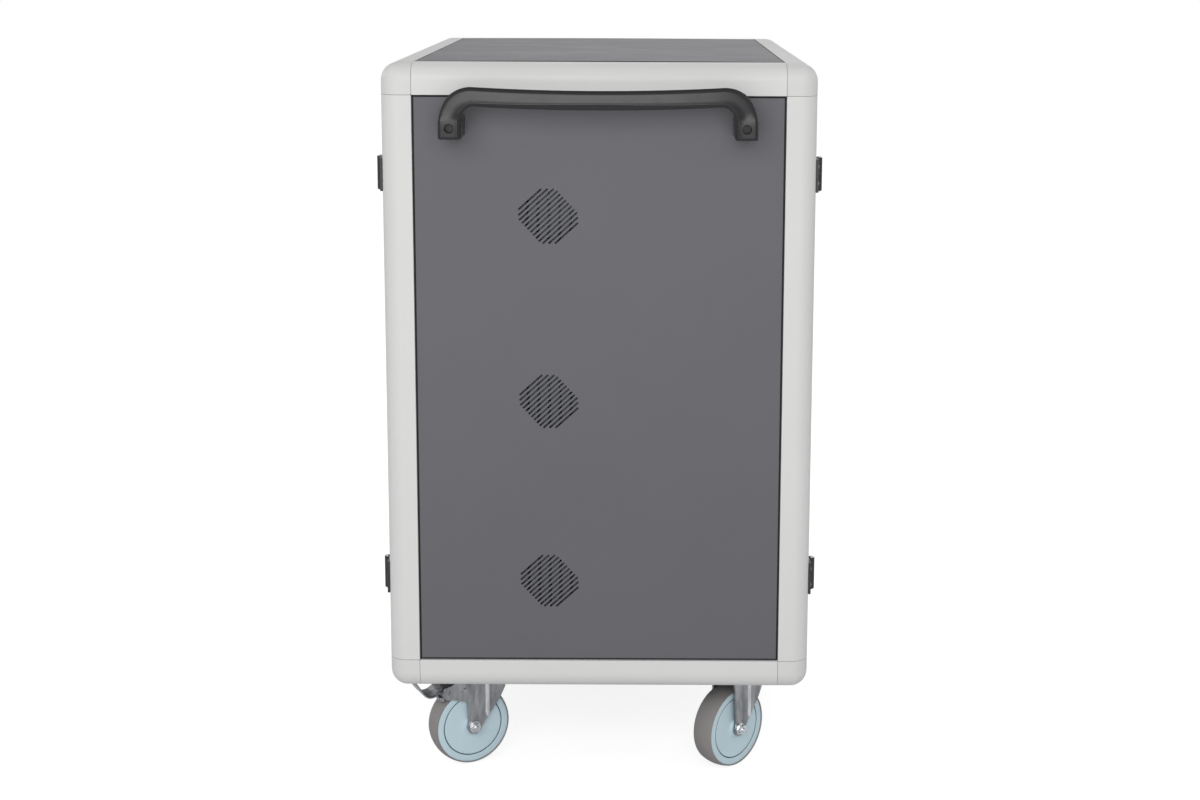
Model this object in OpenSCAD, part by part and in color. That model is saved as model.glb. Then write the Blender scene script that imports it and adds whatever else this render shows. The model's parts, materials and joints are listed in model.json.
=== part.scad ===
// Laptop charging cart: a rounded profile frame with sheet panels, two side doors,
// a bail handle, divided laptop shelves, a charger bay and four swivel castors.
// X runs across the handle side, Y into the cart from the handle, Z up from the floor.

/* [Body] */
// Width across the two door faces
body_w = 620; // [590:5:700]
// Depth from the handle side to the far side
body_d = 850; // [800:5:950]
// Height of the cabinet without its castors
body_h = 925; // [900:5:1000]

/* [Frame] */
// Side of the square frame profile
profile = 45; // [42:1:50]
// Outer rounding of the frame profile
round_r = 25; // [16:1:30]
// Wall of the hollow frame profile
profile_wall = 2.5; // [2:0.5:4]
// Side of the spigots inside the profile ends
spigot_w = 22; // [14:1:24]
// Length of the spigots inside the profile ends
spigot_l = 30; // [15:1:45]

/* [Panels] */
// Depth of the end panels and doors behind the profile face
panel_recess = 3.5; // [2:0.5:5]
// Height of the top panel above the profile face
top_rise = 1.2; // [0.4:0.2:2]
// Thickness of the panel and door sheet
sheet = 1.2; // [0.8:0.1:2]
// Depth of the folded edge of a panel or door
flange = 20; // [16:1:24]
// Visible width of the black panel seal
seal_w = 3; // [2:0.5:5]
// Depth of the seal behind the panel face
seal_sink = 2; // [1:0.5:4]
// Visible width of the seal round the top panel
top_seal_w = 1.6; // [1:0.2:3]
// Thickness of the base sheet
base_t = 2; // [1.5:0.5:4]

/* [Vents] */
// Distance of the vents from the middle, towards the laptop bay
vent_offset = 72.5; // [40:2.5:110]
// Distance from the top vent to the panel's upper edge
vent_drop = 172; // [150:1:200]
// Steepness of the slots
slot_angle = 42.3; // [30:0.1:50]
// Distance between slots, measured across them
slot_pitch = 5.9; // [5:0.05:7.5]
// Width of one slot
slot_w = 2.8; // [1.5:0.1:3.5]
// Slots on each side of the middle one
slot_side_count = 6; // [3:1:7]
// Half the longest slot
slot_half = 34.4; // [25:0.1:40]
// Half the width of the slotted field
vent_half_w = 42.4; // [36:0.1:50]
// Half the height of the slotted field
vent_half_h = 39.2; // [36:0.1:46]
// Distance between the upright slots of the inner liner
liner_pitch = 15.6; // [12:0.1:20]
// Width of the upright slots of the inner liner
liner_slot = 4.5; // [3:0.5:8]
// Upright slots on each side of the middle one
liner_side_count = 3; // [1:1:4]

/* [Handle] */
// Overall length of the handle
handle_w = 444; // [360:2:480]
// How far the middle of the handle stands in front of the frame
handle_reach = 78; // [65:1:100]
// How much less the ends of the handle stand out
handle_bow = 20; // [8:1:28]
// Height of the grip bar
bar_h = 26; // [20:1:32]
// Thickness of the grip bar, front to back
bar_t = 20; // [16:1:26]
// How much the middle of the grip bar hangs lower than its ends
bar_sag = 4; // [2:0.5:8]
// Distance from the top of the cabinet to the top of the grip bar
handle_drop = 30; // [24:1:50]
// Height of the whole handle
handle_h = 72; // [60:1:90]
// Width of a handle foot
foot_w = 32.5; // [26:0.5:40]
// Height of a handle foot
foot_h = 31; // [24:1:40]
// Outer corner radius of the handle
bend_out = 46; // [30:1:50]
// Inner corner radius of the handle
bend_in = 19; // [8:1:24]

/* [Doors] */
// Gap round a door
door_gap = 3; // [2:0.5:5]
// Height of a hinge
hinge_h = 48; // [40:1:80]
// Distance from the upper corner cap to the middle of the upper hinge
hinge_inset = 115; // [90:1:160]
// Distance from the lower corner cap to the middle of the lower hinge
low_hinge_inset = 121; // [90:1:160]
// Radius of the hinge barrel
knuckle_r = 5; // [4.5:0.5:6]
// Radius of the hinge pin
hinge_pin_r = 2.5; // [1.5:0.5:3]
// Width of a hinge leaf
leaf_w = 25; // [18:1:35]
// Radius of the lock plate
lock_r = 22; // [18:1:28]
// Length of the lock lever, from its shaft
lever_l = 85; // [60:1:110]
// Radius of the lock shaft
lock_shaft_r = 7; // [5:0.5:8]
// Distance from the door's free edge to the lock shaft
lock_inset = 40; // [34:1:50]

/* [Shelves] */
// Laptop shelves
shelf_count = 3; // [2:1:3]
// Height from one shelf to the next
shelf_pitch = 270.5; // [240:0.5:275]
// Laptop places on one shelf
slot_count = 8; // [4:1:10]
// Thickness of a shelf
shelf_t = 1.5; // [1:0.5:3]
// Height of a divider
divider_h = 190; // [120:5:220]
// Thickness of a divider
divider_t = 2; // [1:0.5:4]
// Distance of the wall between the two bays from the middle
partition_x = 130; // [100:5:150]

/* [Castors] */
// Diameter of a castor wheel
wheel_d = 125; // [100:5:140]
// Width of a tyre
tyre_w = 36; // [28:1:40]
// Thickness of a tyre
tyre_t = 4; // [3:0.5:12]
// Width of a wheel rim
rim_w = 34; // [24:1:36]
// Distance from the wheel's axle to the swivel axis
trail = 32; // [24:1:40]
// Distance of the front swivel axes behind the frame's front
castor_inset = 129; // [125:1:150]
// Distance of the braked castors from the left side
braked_inset = 134; // [130:1:160]
// Distance of the plain castors from the right side
plain_inset = 90; // [88:1:120]
// Direction of the front braked castor
braked_turn = 28; // [0:1:60]
// Direction of the front plain castor
plain_turn = 46; // [0:1:60]

/* [Hidden] */
$fn = 64;

// Cutters overrun a face by this much
over = 1;
// Gap between a fixed and a moving face
run_gap = 0.3;
// Radial clearance of a turning pin in its bore
pin_gap = 0.05;

// Castor: steel sheet, heights and swivel parts
fork_t = 3;
leg_gap = 3;
crown_gap = 20;
crown_r = 32;
leg_r = 12;
leg_front = 20;
shoulder_z = 57.5;
knee_x = 12;
knee_z = 41.5;
bead_r = 5;
bead_out = 1.5;
bead_x = 22;
bead_low = 20;
lower_race_h = 7;
lower_race_r = 28;
upper_race_h = 4.7;
upper_race_r = 31;
kingpin_r = 6;
kingpin_head_r = 11;
kingpin_head_h = 4;
plate_t = 3.5;
plate_x = 85;
plate_y = 105;
bolt_span_x = 60;
bolt_span_y = 80;
castor_bolt_r = 4;
bolt_head_r = 7.5;
bolt_head_h = 5.3;
wheel_r = wheel_d / 2;
rim_r = wheel_r - tyre_t;
leg_in = tyre_w / 2 + leg_gap;
leg_out = leg_in + fork_t;
crown_z = wheel_d + crown_gap;
crown_top = crown_z + fork_t;
race_top = crown_top + lower_race_h;
plate_z = race_top + run_gap + upper_race_h;
plate_top = plate_z + plate_t;

// Wheel
axle_r = 4;
sleeve_r = 6.5;
hub_r = 15;
washer_r = 9;
washer_t = 1.5;
nut_r = 7.5;
nut_h = 6.5;
axle_end = 3;
rim_groove_share = 0.81;
rim_groove_w = 1.6;
rim_groove_depth = 1.5;
tyre_crown_r = 60;
tyre_edge_r = 5;

// Brake pedal, placed from the axle
pivot_x = 40.5;
pivot_z = 60.5;
pivot_r = 3;
ear_r = 11;
pedal_hub_r = 6;
pedal_t = 3;
pedal_w = 36;
pedal_edge_r = 2.2;
pedal_low_x = 28;
pedal_low_z = 3.5;
pedal_tip_x = 58;
pedal_tip_z = 27;
shoe_x = 9;
shoe_z = 11.5;
shoe_r = 4;
shoe_w = 32;
rivet_r = 4;
rivet_h = 2;
rivet_x = 15.5;
rivet_z = 60.5;
rear_braked_turn = 12;
rear_plain_turn = 34;

// Frame box
z_low = plate_top - panel_recess;
z_top = z_low + body_h;
x_side = body_w / 2;
y_front = (handle_reach - body_d) / 2;
y_rear = y_front + body_d;
x_in = x_side - profile;
y_in_front = y_front + profile;
y_in_rear = y_rear - profile;
z_in_low = z_low + profile;
z_in_top = z_top - profile;
corner_r = min(round_r, profile - profile_wall);
braked_x = x_side - braked_inset;
plain_x = x_side - plain_inset;

// Inner sheets
liner_t = 1.2;
liner_out = panel_recess + flange;
bay_front = y_front + liner_out + liner_t;
bay_rear = y_rear - liner_out - liner_t;
liner_slot_over = 9;
liner_slot_h = 2 * (vent_half_h + liner_slot_over);
shelf_edge = 15;
shelf_x = x_in - shelf_edge;
shelf_lip = 18;
divider_back = 25;
divider_round = 40;
tray_lip = 24;
tray_edge = 15;
slot_step = (y_in_rear - y_in_front) / slot_count;

// Power strips and mains inlet
strip_x = 42;
strip_h = 44;
strip_l = 680;
socket_r = 18;
socket_rise = 1.5;
socket_count = 8;
inlet_w = 60;
inlet_h = 46;
inlet_rim_t = 3;
inlet_body_w = 50;
inlet_body_h = 30;
inlet_depth = 40;
inlet_well_w = 36;
inlet_well_h = 20;
inlet_well_depth = 22;
blade_w = 2;
blade_h = 8;
blade_l = 16;
blade_span = 11;
inlet_inset = 70;
inlet_x = x_in - inlet_inset;
inlet_z = z_in_low + inlet_inset;
inlet_gap = 1.5;

// Handle
bow_half = handle_w / 2;
bow_r = (bow_half * bow_half + handle_bow * handle_bow) / (2 * handle_bow);
handle_top = z_top - handle_drop;
handle_low = handle_top - handle_h;
sag_half = handle_w / 2 - bend_out;
sag_r = (sag_half * sag_half + bar_sag * bar_sag) / (2 * bar_sag);
foot_x = handle_w / 2 - foot_w / 2;
foot_z = handle_low + foot_h / 2;
screw_r = 3;
screw_head_r = 6.5;
screw_head_h = 6;
screw_well_r = 8;
screw_well_depth = 10;
screw_nut_r = 6;
screw_nut_h = 5;
screw_tail = 3;

// Doors, hinges and locks
door_x = x_side - panel_recess;
door_low = z_in_low + door_gap;
door_top = z_in_top - door_gap;
door_front = y_in_front + door_gap;
door_rear = y_in_rear - door_gap;
hinge_clear = 1;
hinge_off = knuckle_r + hinge_clear;
hinge_x = x_side + hinge_off;
hinge_y = y_in_front + knuckle_r;
leaf_t = 3.5;
leaf_gap = 1.5;
knuckle_gap = 0.4;
hinge_low_z = z_in_low + low_hinge_inset - hinge_h / 2;
hinge_top_z = z_in_top - hinge_inset - hinge_h / 2;
lock_plate_t = 8;
lock_barrel_r = 11;
lock_barrel_l = 24;
lock_nut_r = 16;
lock_nut_h = 6;
lever_hub_r = 13;
lever_hub_t = 13;
lever_w = 18;
lever_t = 9;
key_r = 6;
key_depth = 3;
cam_l = 60;
cam_w = 20;
cam_t = 3;
cam_gap = 1;
shaft_tail = 5;
lock_y = door_rear - lock_inset;
lock_z = (door_low + door_top) / 2;
cam_x = x_in - cam_gap - cam_t;

frame_tone = "#d3d3d3";
panel_tone = "#6f6e73";
black_tone = "#222224";
steel_tone = "#b9bdc0";
liner_tone = "#8d8f92";
shelf_tone = "#9a9ca0";

module on_right() mirror([1, 0, 0]) children();
module on_rear() translate([0, y_front + y_rear, 0]) mirror([0, 1, 0]) children();
module on_top() translate([0, 0, z_low + z_top]) mirror([0, 0, 1]) children();

// Square with one rounded corner at the origin
module corner_square(side, r) {
    translate([r, 0]) square([side - r, side]);
    translate([0, r]) square([side, side - r]);
    intersection() {
        square([side, side]);
        translate([r, r]) circle(r = r);
    }
}

module profile_section() {
    difference() {
        corner_square(profile, corner_r);
        translate([profile_wall, profile_wall])
            corner_square(profile - 2 * profile_wall, max(corner_r - profile_wall, profile_wall));
    }
}

module post() {
    color(frame_tone) translate([-x_side, y_front, z_in_low])
        linear_extrude(z_in_top - z_in_low) profile_section();
}

module cross_rail() {
    color(frame_tone) translate([-x_in, y_front, z_low]) rotate([90, 0, 90])
        linear_extrude(2 * x_in) profile_section();
}

module side_rail() {
    color(frame_tone) translate([-x_side, y_in_rear, z_low]) rotate([90, 0, 0])
        linear_extrude(y_in_rear - y_in_front) profile_section();
}

// Corner block with three rounded edges that meet in a ball
module corner_cap() {
    straight = profile - corner_r;
    translate([-x_side, y_front, z_low]) {
        translate([corner_r, corner_r, 0]) cube([straight, straight, profile]);
        translate([corner_r, 0, corner_r]) cube([straight, profile, straight]);
        translate([0, corner_r, corner_r]) cube([profile, straight, straight]);
        intersection() {
            cube([profile, profile, profile]);
            translate([corner_r, corner_r, corner_r]) {
                sphere(r = corner_r);
                cylinder(r = corner_r, h = straight);
                rotate([0, 90, 0]) cylinder(r = corner_r, h = straight);
                rotate([-90, 0, 0]) cylinder(r = corner_r, h = straight);
            }
        }
    }
}

module corner_spigot_set() {
    start = profile - profile_wall - spigot_w;
    translate([-x_side, y_front, z_low]) {
        translate([start, start, profile]) cube([spigot_w, spigot_w, spigot_l]);
        translate([start, profile, start]) cube([spigot_w, spigot_l, spigot_w]);
        translate([profile, start, start]) cube([spigot_l, spigot_w, spigot_w]);
    }
}

module at_eight_corners() {
    children();
    on_right() children();
    on_rear() children();
    on_rear() on_right() children();
    on_top() children();
    on_top() on_right() children();
    on_top() on_rear() children();
    on_top() on_rear() on_right() children();
}

module corner_caps() color("#cdcdcd") at_eight_corners() corner_cap();
module corner_spigots() color(black_tone) at_eight_corners() corner_spigot_set();

// Slots that rise to the right inside an eight-sided field
module vent_slots() {
    c = cos(slot_angle);
    s = sin(slot_angle);
    for (k = [-slot_side_count : slot_side_count]) {
        across = k * slot_pitch;
        low = min(slot_half, (vent_half_w - across * s) / c, (vent_half_h + across * c) / s);
        high = min(slot_half, (vent_half_w + across * s) / c, (vent_half_h - across * c) / s);
        rotate(slot_angle) translate([-low, across - slot_w / 2]) square([low + high, slot_w]);
    }
}

module at_vents() {
    for (k = [0 : shelf_count - 1])
        translate([-vent_offset, 0, z_in_top - vent_drop - k * shelf_pitch]) children();
}

// Upright panel between the front posts, with its edges folded back
module end_panel() {
    w = 2 * (x_in - seal_w);
    h = z_in_top - z_in_low - 2 * seal_w;
    face_y = y_front + panel_recess;
    difference() {
        translate([-w / 2, face_y, z_in_low + seal_w]) cube([w, flange, h]);
        translate([-w / 2 + sheet, face_y + sheet, z_in_low + seal_w + sheet])
            cube([w - 2 * sheet, flange, h - 2 * sheet]);
        translate([0, face_y + sheet + over, 0]) at_vents()
            rotate([90, 0, 0]) linear_extrude(sheet + 2 * over) vent_slots();
    }
}

module front_panel() {
    color(panel_tone) difference() {
        end_panel();
        for (side = [-1, 1])
            translate([side * foot_x, y_front + panel_recess + sheet + over, foot_z])
                rotate([90, 0, 0]) cylinder(r = screw_r, h = sheet + 2 * over);
    }
}

module rear_panel() {
    color(panel_tone) difference() {
        on_rear() end_panel();
        translate([inlet_x - inlet_body_w / 2, y_rear - panel_recess - sheet - over, inlet_z - inlet_body_h / 2])
            cube([inlet_body_w, sheet + 2 * over, inlet_body_h]);
    }
}

module top_panel() {
    w = 2 * (x_in - top_seal_w);
    d = y_in_rear - y_in_front - 2 * top_seal_w;
    color(panel_tone) translate([-w / 2, y_in_front + top_seal_w, z_top + top_rise - flange])
        difference() {
            cube([w, d, flange]);
            translate([sheet, sheet, -sheet]) cube([w - 2 * sheet, d - 2 * sheet, flange]);
        }
}

module base_panel() {
    color(panel_tone) difference() {
        translate([-x_in, y_in_front, plate_top])
            cube([2 * x_in, y_in_rear - y_in_front, base_t]);
        at_castor_bolts() translate([0, 0, plate_top - over])
            cylinder(r = castor_bolt_r, h = base_t + 2 * over);
    }
}

// Ring that closes the gap between a panel and the frame
module seal_ring(w, h, depth, wall) {
    difference() {
        cube([w, h, depth]);
        translate([wall, wall, -over]) cube([w - 2 * wall, h - 2 * wall, depth + 2 * over]);
    }
}

module end_seal() {
    translate([-x_in, y_front + panel_recess + flange, z_in_low]) rotate([90, 0, 0])
        seal_ring(2 * x_in, z_in_top - z_in_low, flange - seal_sink, seal_w);
}

module panel_seals() {
    color(black_tone) {
        end_seal();
        on_rear() end_seal();
        translate([-x_in, y_in_front, z_top + top_rise - flange])
            seal_ring(2 * x_in, y_in_rear - y_in_front, flange - top_rise, top_seal_w);
    }
}

// Slotted sheet behind an end panel, which holds the shelves
module liner() {
    difference() {
        translate([-x_in, y_front + liner_out, z_in_low])
            cube([2 * x_in, liner_t, z_in_top - z_in_low]);
        at_vents() for (k = [-liner_side_count : liner_side_count])
            translate([k * liner_pitch - liner_slot / 2, y_front + liner_out - over, -liner_slot_h / 2])
                cube([liner_slot, liner_t + 2 * over, liner_slot_h]);
    }
}

module front_liner() color(liner_tone) liner();

module rear_liner() {
    color(liner_tone) difference() {
        on_rear() liner();
        translate([inlet_x - inlet_body_w / 2 - inlet_gap, bay_rear - over, inlet_z - inlet_body_h / 2 - inlet_gap])
            cube([inlet_body_w + 2 * inlet_gap, liner_t + 2 * over, inlet_body_h + 2 * inlet_gap]);
    }
}

module partition() {
    color(shelf_tone) translate([partition_x, bay_front, z_in_low])
        cube([shelf_t, bay_rear - bay_front, z_in_top - z_in_low]);
}

module at_shelves() {
    for (k = [0 : shelf_count - 1]) translate([0, 0, z_in_low + k * shelf_pitch]) children();
}

// Shelf with a folded front edge that clears the posts
module laptop_shelf() {
    translate([-shelf_x, bay_front, 0]) cube([shelf_x + partition_x, bay_rear - bay_front, shelf_t]);
    translate([-shelf_x, y_in_front + door_gap, -shelf_lip])
        cube([shelf_t, y_in_rear - y_in_front - 2 * door_gap, shelf_lip]);
}

module laptop_shelves() color(shelf_tone) at_shelves() laptop_shelf();

module divider_outline() {
    l = shelf_x + partition_x - divider_back;
    square([l, divider_h - divider_round]);
    translate([divider_round, 0]) square([l - divider_round, divider_h]);
    translate([divider_round, divider_h - divider_round]) circle(r = divider_round);
}

module laptop_dividers() {
    color("#c4c6c8") at_shelves() for (k = [1 : slot_count - 1])
        translate([-shelf_x, y_in_front + k * slot_step + divider_t / 2, shelf_t])
            rotate([90, 0, 0]) linear_extrude(divider_t) divider_outline();
}

module charger_tray() {
    w = shelf_x - partition_x - shelf_t;
    translate([partition_x + shelf_t, bay_front, 0]) cube([w, bay_rear - bay_front, shelf_t]);
    translate([shelf_x - shelf_t, y_in_front + tray_edge, shelf_t])
        cube([shelf_t, y_in_rear - y_in_front - 2 * tray_edge, tray_lip]);
}

module charger_trays() color(shelf_tone) at_shelves() charger_tray();

// Long socket strip whose flush outlets face the right door
module power_strip() {
    step = strip_l / socket_count;
    face = partition_x + shelf_t + strip_x;
    difference() {
        union() {
            translate([partition_x + shelf_t, -strip_l / 2, shelf_t]) cube([strip_x, strip_l, strip_h]);
            at_sockets(face, step) cylinder(r = socket_r, h = socket_rise);
        }
        at_sockets(face, step) {
            for (side = [-1, 1])
                translate([-blade_h / 2, side * blade_span / 2 - blade_w / 2, socket_rise - blade_l])
                    cube([blade_h, blade_w, blade_l + over]);
            translate([blade_span, 0, socket_rise - blade_l]) cylinder(r = blade_w, h = blade_l + over);
        }
    }
}

module at_sockets(face, step) {
    for (k = [0 : socket_count - 1])
        translate([face, -strip_l / 2 + (k + 0.5) * step, shelf_t + strip_h / 2])
            rotate([0, 90, 0]) children();
}

module power_strips() color("#2b2b2d") at_shelves() translate([0, (y_front + y_rear) / 2, 0]) power_strip();

module mains_inlet() {
    face_y = y_rear - panel_recess;
    color(black_tone) translate([inlet_x, face_y, inlet_z]) {
        difference() {
            union() {
                translate([-inlet_w / 2, 0, -inlet_h / 2]) cube([inlet_w, inlet_rim_t, inlet_h]);
                translate([-inlet_body_w / 2, -inlet_depth, -inlet_body_h / 2])
                    cube([inlet_body_w, inlet_depth + inlet_rim_t, inlet_body_h]);
            }
            translate([-inlet_well_w / 2, inlet_rim_t - inlet_well_depth, -inlet_well_h / 2])
                cube([inlet_well_w, inlet_well_depth + over, inlet_well_h]);
        }
        for (k = [-1, 0, 1])
            translate([k * blade_span - blade_w / 2, inlet_rim_t - inlet_well_depth - blade_w, -blade_h / 2])
                cube([blade_w, blade_l + blade_w, blade_h]);
    }
}

// Front view of the handle, drawn about the middle with its top at zero
module handle_outline() {
    difference() {
        arch_outline(handle_w, handle_h, bend_out);
        translate([0, sag_r - bar_sag]) circle(r = sag_r, $fn = 360);
        difference() {
            translate([0, -bar_h]) arch_outline(handle_w - 2 * foot_w, handle_h, bend_in);
            translate([0, sag_r - bar_sag - bar_h]) circle(r = sag_r, $fn = 360);
        }
    }
}

module arch_outline(w, h, r) {
    translate([-w / 2, -h]) square([w, h - r]);
    translate([-w / 2 + r, -h]) square([w - 2 * r, h]);
    intersection() {
        translate([-w / 2, -h]) square([w, h]);
        for (side = [-1, 1]) translate([side * (w / 2 - r), -r]) circle(r = r);
    }
}

// Upright disc whose edge is the bowed front of the handle
module bow_disc(r, h) {
    translate([0, y_front - handle_reach + bow_r, 0]) cylinder(r = r, h = h, $fn = 360);
}

module push_handle() {
    color(black_tone) difference() {
        union() {
            intersection() {
                translate([0, y_front, handle_top]) rotate([90, 0, 0])
                    linear_extrude(handle_reach + over) handle_outline();
                translate([0, 0, handle_low - over]) difference() {
                    bow_disc(bow_r, handle_h + 2 * over);
                    translate([0, 0, -over]) bow_disc(bow_r - bar_t, handle_h + 4 * over);
                }
            }
            intersection() {
                for (side = [-1, 1])
                    translate([side * foot_x - foot_w / 2, y_front - handle_reach, handle_low])
                        cube([foot_w, handle_reach + panel_recess, foot_h]);
                translate([0, 0, handle_low - over]) bow_disc(bow_r, handle_h);
            }
        }
        for (side = [-1, 1]) translate([side * foot_x, y_front + panel_recess, foot_z])
            rotate([90, 0, 0]) {
                translate([0, 0, -over]) cylinder(r = screw_r, h = handle_reach);
                translate([0, 0, screw_seat]) cylinder(r = screw_well_r, h = handle_reach);
            }
    }
}

// Depth of the handle foot under the screw head
foot_front = sqrt(bow_r * bow_r - foot_x * foot_x) - bow_r + handle_reach;
screw_seat = foot_front + panel_recess - screw_well_depth;

module handle_screws() {
    color(steel_tone) for (side = [-1, 1]) translate([side * foot_x, y_front + panel_recess, foot_z])
        rotate([90, 0, 0]) {
            tail = sheet + screw_nut_h + screw_tail;
            translate([0, 0, -tail]) cylinder(r = screw_r, h = tail + screw_seat);
            translate([0, 0, screw_seat]) cylinder(r = screw_head_r, h = screw_head_h);
            translate([0, 0, -sheet - screw_nut_h]) cylinder(r = screw_nut_r, h = screw_nut_h, $fn = 6);
        }
}

// Left door: a sheet pan with its edges folded inwards
module door_pan() {
    d = door_rear - door_front;
    h = door_top - door_low;
    color(panel_tone) difference() {
        translate([-door_x, door_front, door_low]) cube([flange, d, h]);
        translate([-door_x + sheet, door_front + sheet, door_low + sheet])
            cube([flange, d - 2 * sheet, h - 2 * sheet]);
        translate([-door_x - over, lock_y, lock_z]) rotate([0, 90, 0])
            cylinder(r = lock_barrel_r, h = sheet + 2 * over);
    }
}

// Barrel piece round the left hinge axis, between two heights of one hinge
module knuckle(low, high, bore_r) {
    difference() {
        translate([0, 0, low]) {
            cylinder(r = knuckle_r, h = high - low);
            children();
        }
        translate([0, 0, low - over]) cylinder(r = bore_r, h = high - low + 2 * over);
    }
}

module frame_leaf() {
    translate([-hinge_x, hinge_y, 0]) {
        translate([hinge_off - leaf_t, -knuckle_r - leaf_w, 0]) cube([leaf_t, leaf_w, hinge_h]);
        knuckle(0, hinge_h / 2 - knuckle_gap / 2, hinge_pin_r)
            translate([0, -knuckle_r - leaf_gap, 0])
                cube([hinge_off, knuckle_r + leaf_gap, hinge_h / 2 - knuckle_gap / 2]);
    }
}

module door_leaf() {
    translate([-hinge_x, hinge_y, 0]) {
        translate([hinge_off - leaf_t + leaf_gap, knuckle_r, 0])
            cube([leaf_t - leaf_gap + panel_recess, leaf_w, hinge_h]);
        knuckle(hinge_h / 2 + knuckle_gap / 2, hinge_h, hinge_pin_r + pin_gap)
            cube([hinge_off, knuckle_r + leaf_gap, hinge_h / 2 - knuckle_gap / 2]);
    }
}

module at_hinges() {
    for (z = [hinge_low_z, hinge_top_z]) translate([0, 0, z]) children();
}

module hinge_frame_leaves() {
    color(black_tone) {
        at_hinges() frame_leaf();
        on_right() at_hinges() frame_leaf();
    }
}

module left_hinge_leaves() color(black_tone) at_hinges() door_leaf();

module hinge_pin() translate([-hinge_x, hinge_y, 0]) cylinder(r = hinge_pin_r, h = hinge_h);

module hinge_pins() {
    color(steel_tone) {
        at_hinges() hinge_pin();
        on_right() at_hinges() hinge_pin();
    }
}

module at_lock() translate([-door_x, lock_y, lock_z]) rotate([0, 90, 0]) children();

// Lock plate and threaded barrel, fixed to the left door
module left_lock_housing() {
    color(black_tone) at_lock() difference() {
        union() {
            translate([0, 0, -lock_plate_t]) cylinder(r = lock_r, h = lock_plate_t);
            cylinder(r = lock_barrel_r, h = lock_barrel_l);
            translate([0, 0, sheet]) cylinder(r = lock_nut_r, h = lock_nut_h, $fn = 6);
        }
        translate([0, 0, -lock_plate_t - over])
            cylinder(r = lock_shaft_r + pin_gap, h = lock_plate_t + lock_barrel_l + 2 * over);
    }
}

// Lever and its shaft, which points to the handle side when unlocked
module left_lock_lever() {
    shaft_l = door_x - cam_x + shaft_tail;
    color(black_tone) at_lock() {
        translate([0, 0, -lock_plate_t - run_gap]) {
            cylinder(r = lock_shaft_r, h = shaft_l + lock_plate_t + run_gap);
            translate([0, 0, -lever_hub_t]) difference() {
                union() {
                    cylinder(r = lever_hub_r, h = lever_hub_t);
                    translate([-lever_w / 2, -lever_l + lever_w / 2, 0]) cube([lever_w, lever_l - lever_w / 2, lever_t]);
                    translate([0, -lever_l + lever_w / 2, 0]) cylinder(r = lever_w / 2, h = lever_t);
                }
                translate([0, 0, -over]) cylinder(r = key_r, h = key_depth + over);
            }
        }
    }
}

// Latch bar on the shaft, which hangs down when unlocked
module left_lock_cam() {
    color(steel_tone) translate([-cam_x - cam_t, lock_y, lock_z]) rotate([0, 90, 0]) difference() {
        union() {
            cylinder(r = cam_w / 2, h = cam_t);
            translate([0, -cam_w / 2, 0]) cube([cam_l - cam_w / 2, cam_w, cam_t]);
            translate([cam_l - cam_w / 2, 0, 0]) cylinder(r = cam_w / 2, h = cam_t);
        }
        translate([0, 0, -over]) cylinder(r = lock_shaft_r, h = cam_t + 2 * over);
    }
}

module left_door() door_pan();

// Castor frame: the swivel axis is at the origin, and the axle trails towards minus X
module castor(x, y, turn) translate([x, y, 0]) rotate([0, 0, turn]) children();

module at_front_left() castor(-braked_x, y_front + castor_inset, braked_turn) children();
module at_rear_left() castor(-braked_x, y_rear - castor_inset, rear_braked_turn) children();
module at_front_right() castor(plain_x, y_front + castor_inset, plain_turn) children();
module at_rear_right() castor(plain_x, y_rear - castor_inset, rear_plain_turn) children();

module at_castor_axes() {
    for (x = [-braked_x, plain_x], y = [y_front + castor_inset, y_rear - castor_inset])
        translate([x, y, 0]) children();
}

module at_castor_bolts() {
    at_castor_axes() for (sx = [-1, 1], sy = [-1, 1])
        translate([sx * bolt_span_x / 2, sy * bolt_span_y / 2, 0]) children();
}

module castor_plates() {
    color(steel_tone) difference() {
        at_castor_axes() {
            translate([-plate_x / 2, -plate_y / 2, plate_z]) cube([plate_x, plate_y, plate_t]);
            translate([0, 0, race_top + run_gap]) cylinder(r = upper_race_r, h = upper_race_h);
            translate([0, 0, crown_z - run_gap]) cylinder(r = kingpin_r, h = plate_top - crown_z + run_gap);
            translate([0, 0, crown_z - run_gap - kingpin_head_h])
                cylinder(r = kingpin_head_r, h = kingpin_head_h);
        }
        at_castor_bolts() translate([0, 0, plate_z - over])
            cylinder(r = castor_bolt_r, h = plate_t + 2 * over);
    }
}

module castor_bolts() {
    color(steel_tone) at_castor_bolts() {
        translate([0, 0, plate_z - bolt_head_h]) cylinder(r = bolt_head_r, h = bolt_head_h, $fn = 6);
        translate([0, 0, plate_z - over])
            cylinder(r = castor_bolt_r, h = plate_t + base_t + over + nut_h);
        translate([0, 0, plate_top + base_t]) cylinder(r = nut_r, h = nut_h, $fn = 6);
    }
}

// Side view of a fork leg
module leg_outline(braked) {
    translate([-trail, wheel_r]) circle(r = leg_r);
    polygon([[-trail - leg_r * 0.9, wheel_r], [-trail - leg_r, crown_top], [leg_front, crown_top],
             [leg_front, wheel_r + shoulder_z], [knee_x, wheel_r + knee_z],
             [-trail + leg_r * 0.8, wheel_r - leg_r * 0.4]]);
    if (braked) {
        translate([-trail - pivot_x, wheel_r + pivot_z]) circle(r = ear_r);
        polygon([[-trail - pivot_x, wheel_r + pivot_z - ear_r * 0.9], [-trail, wheel_r + pivot_z - 2 * ear_r],
                 [-trail, crown_top], [-trail - leg_r, crown_top],
                 [-trail - pivot_x, wheel_r + pivot_z + ear_r * 0.9]]);
    }
}

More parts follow.
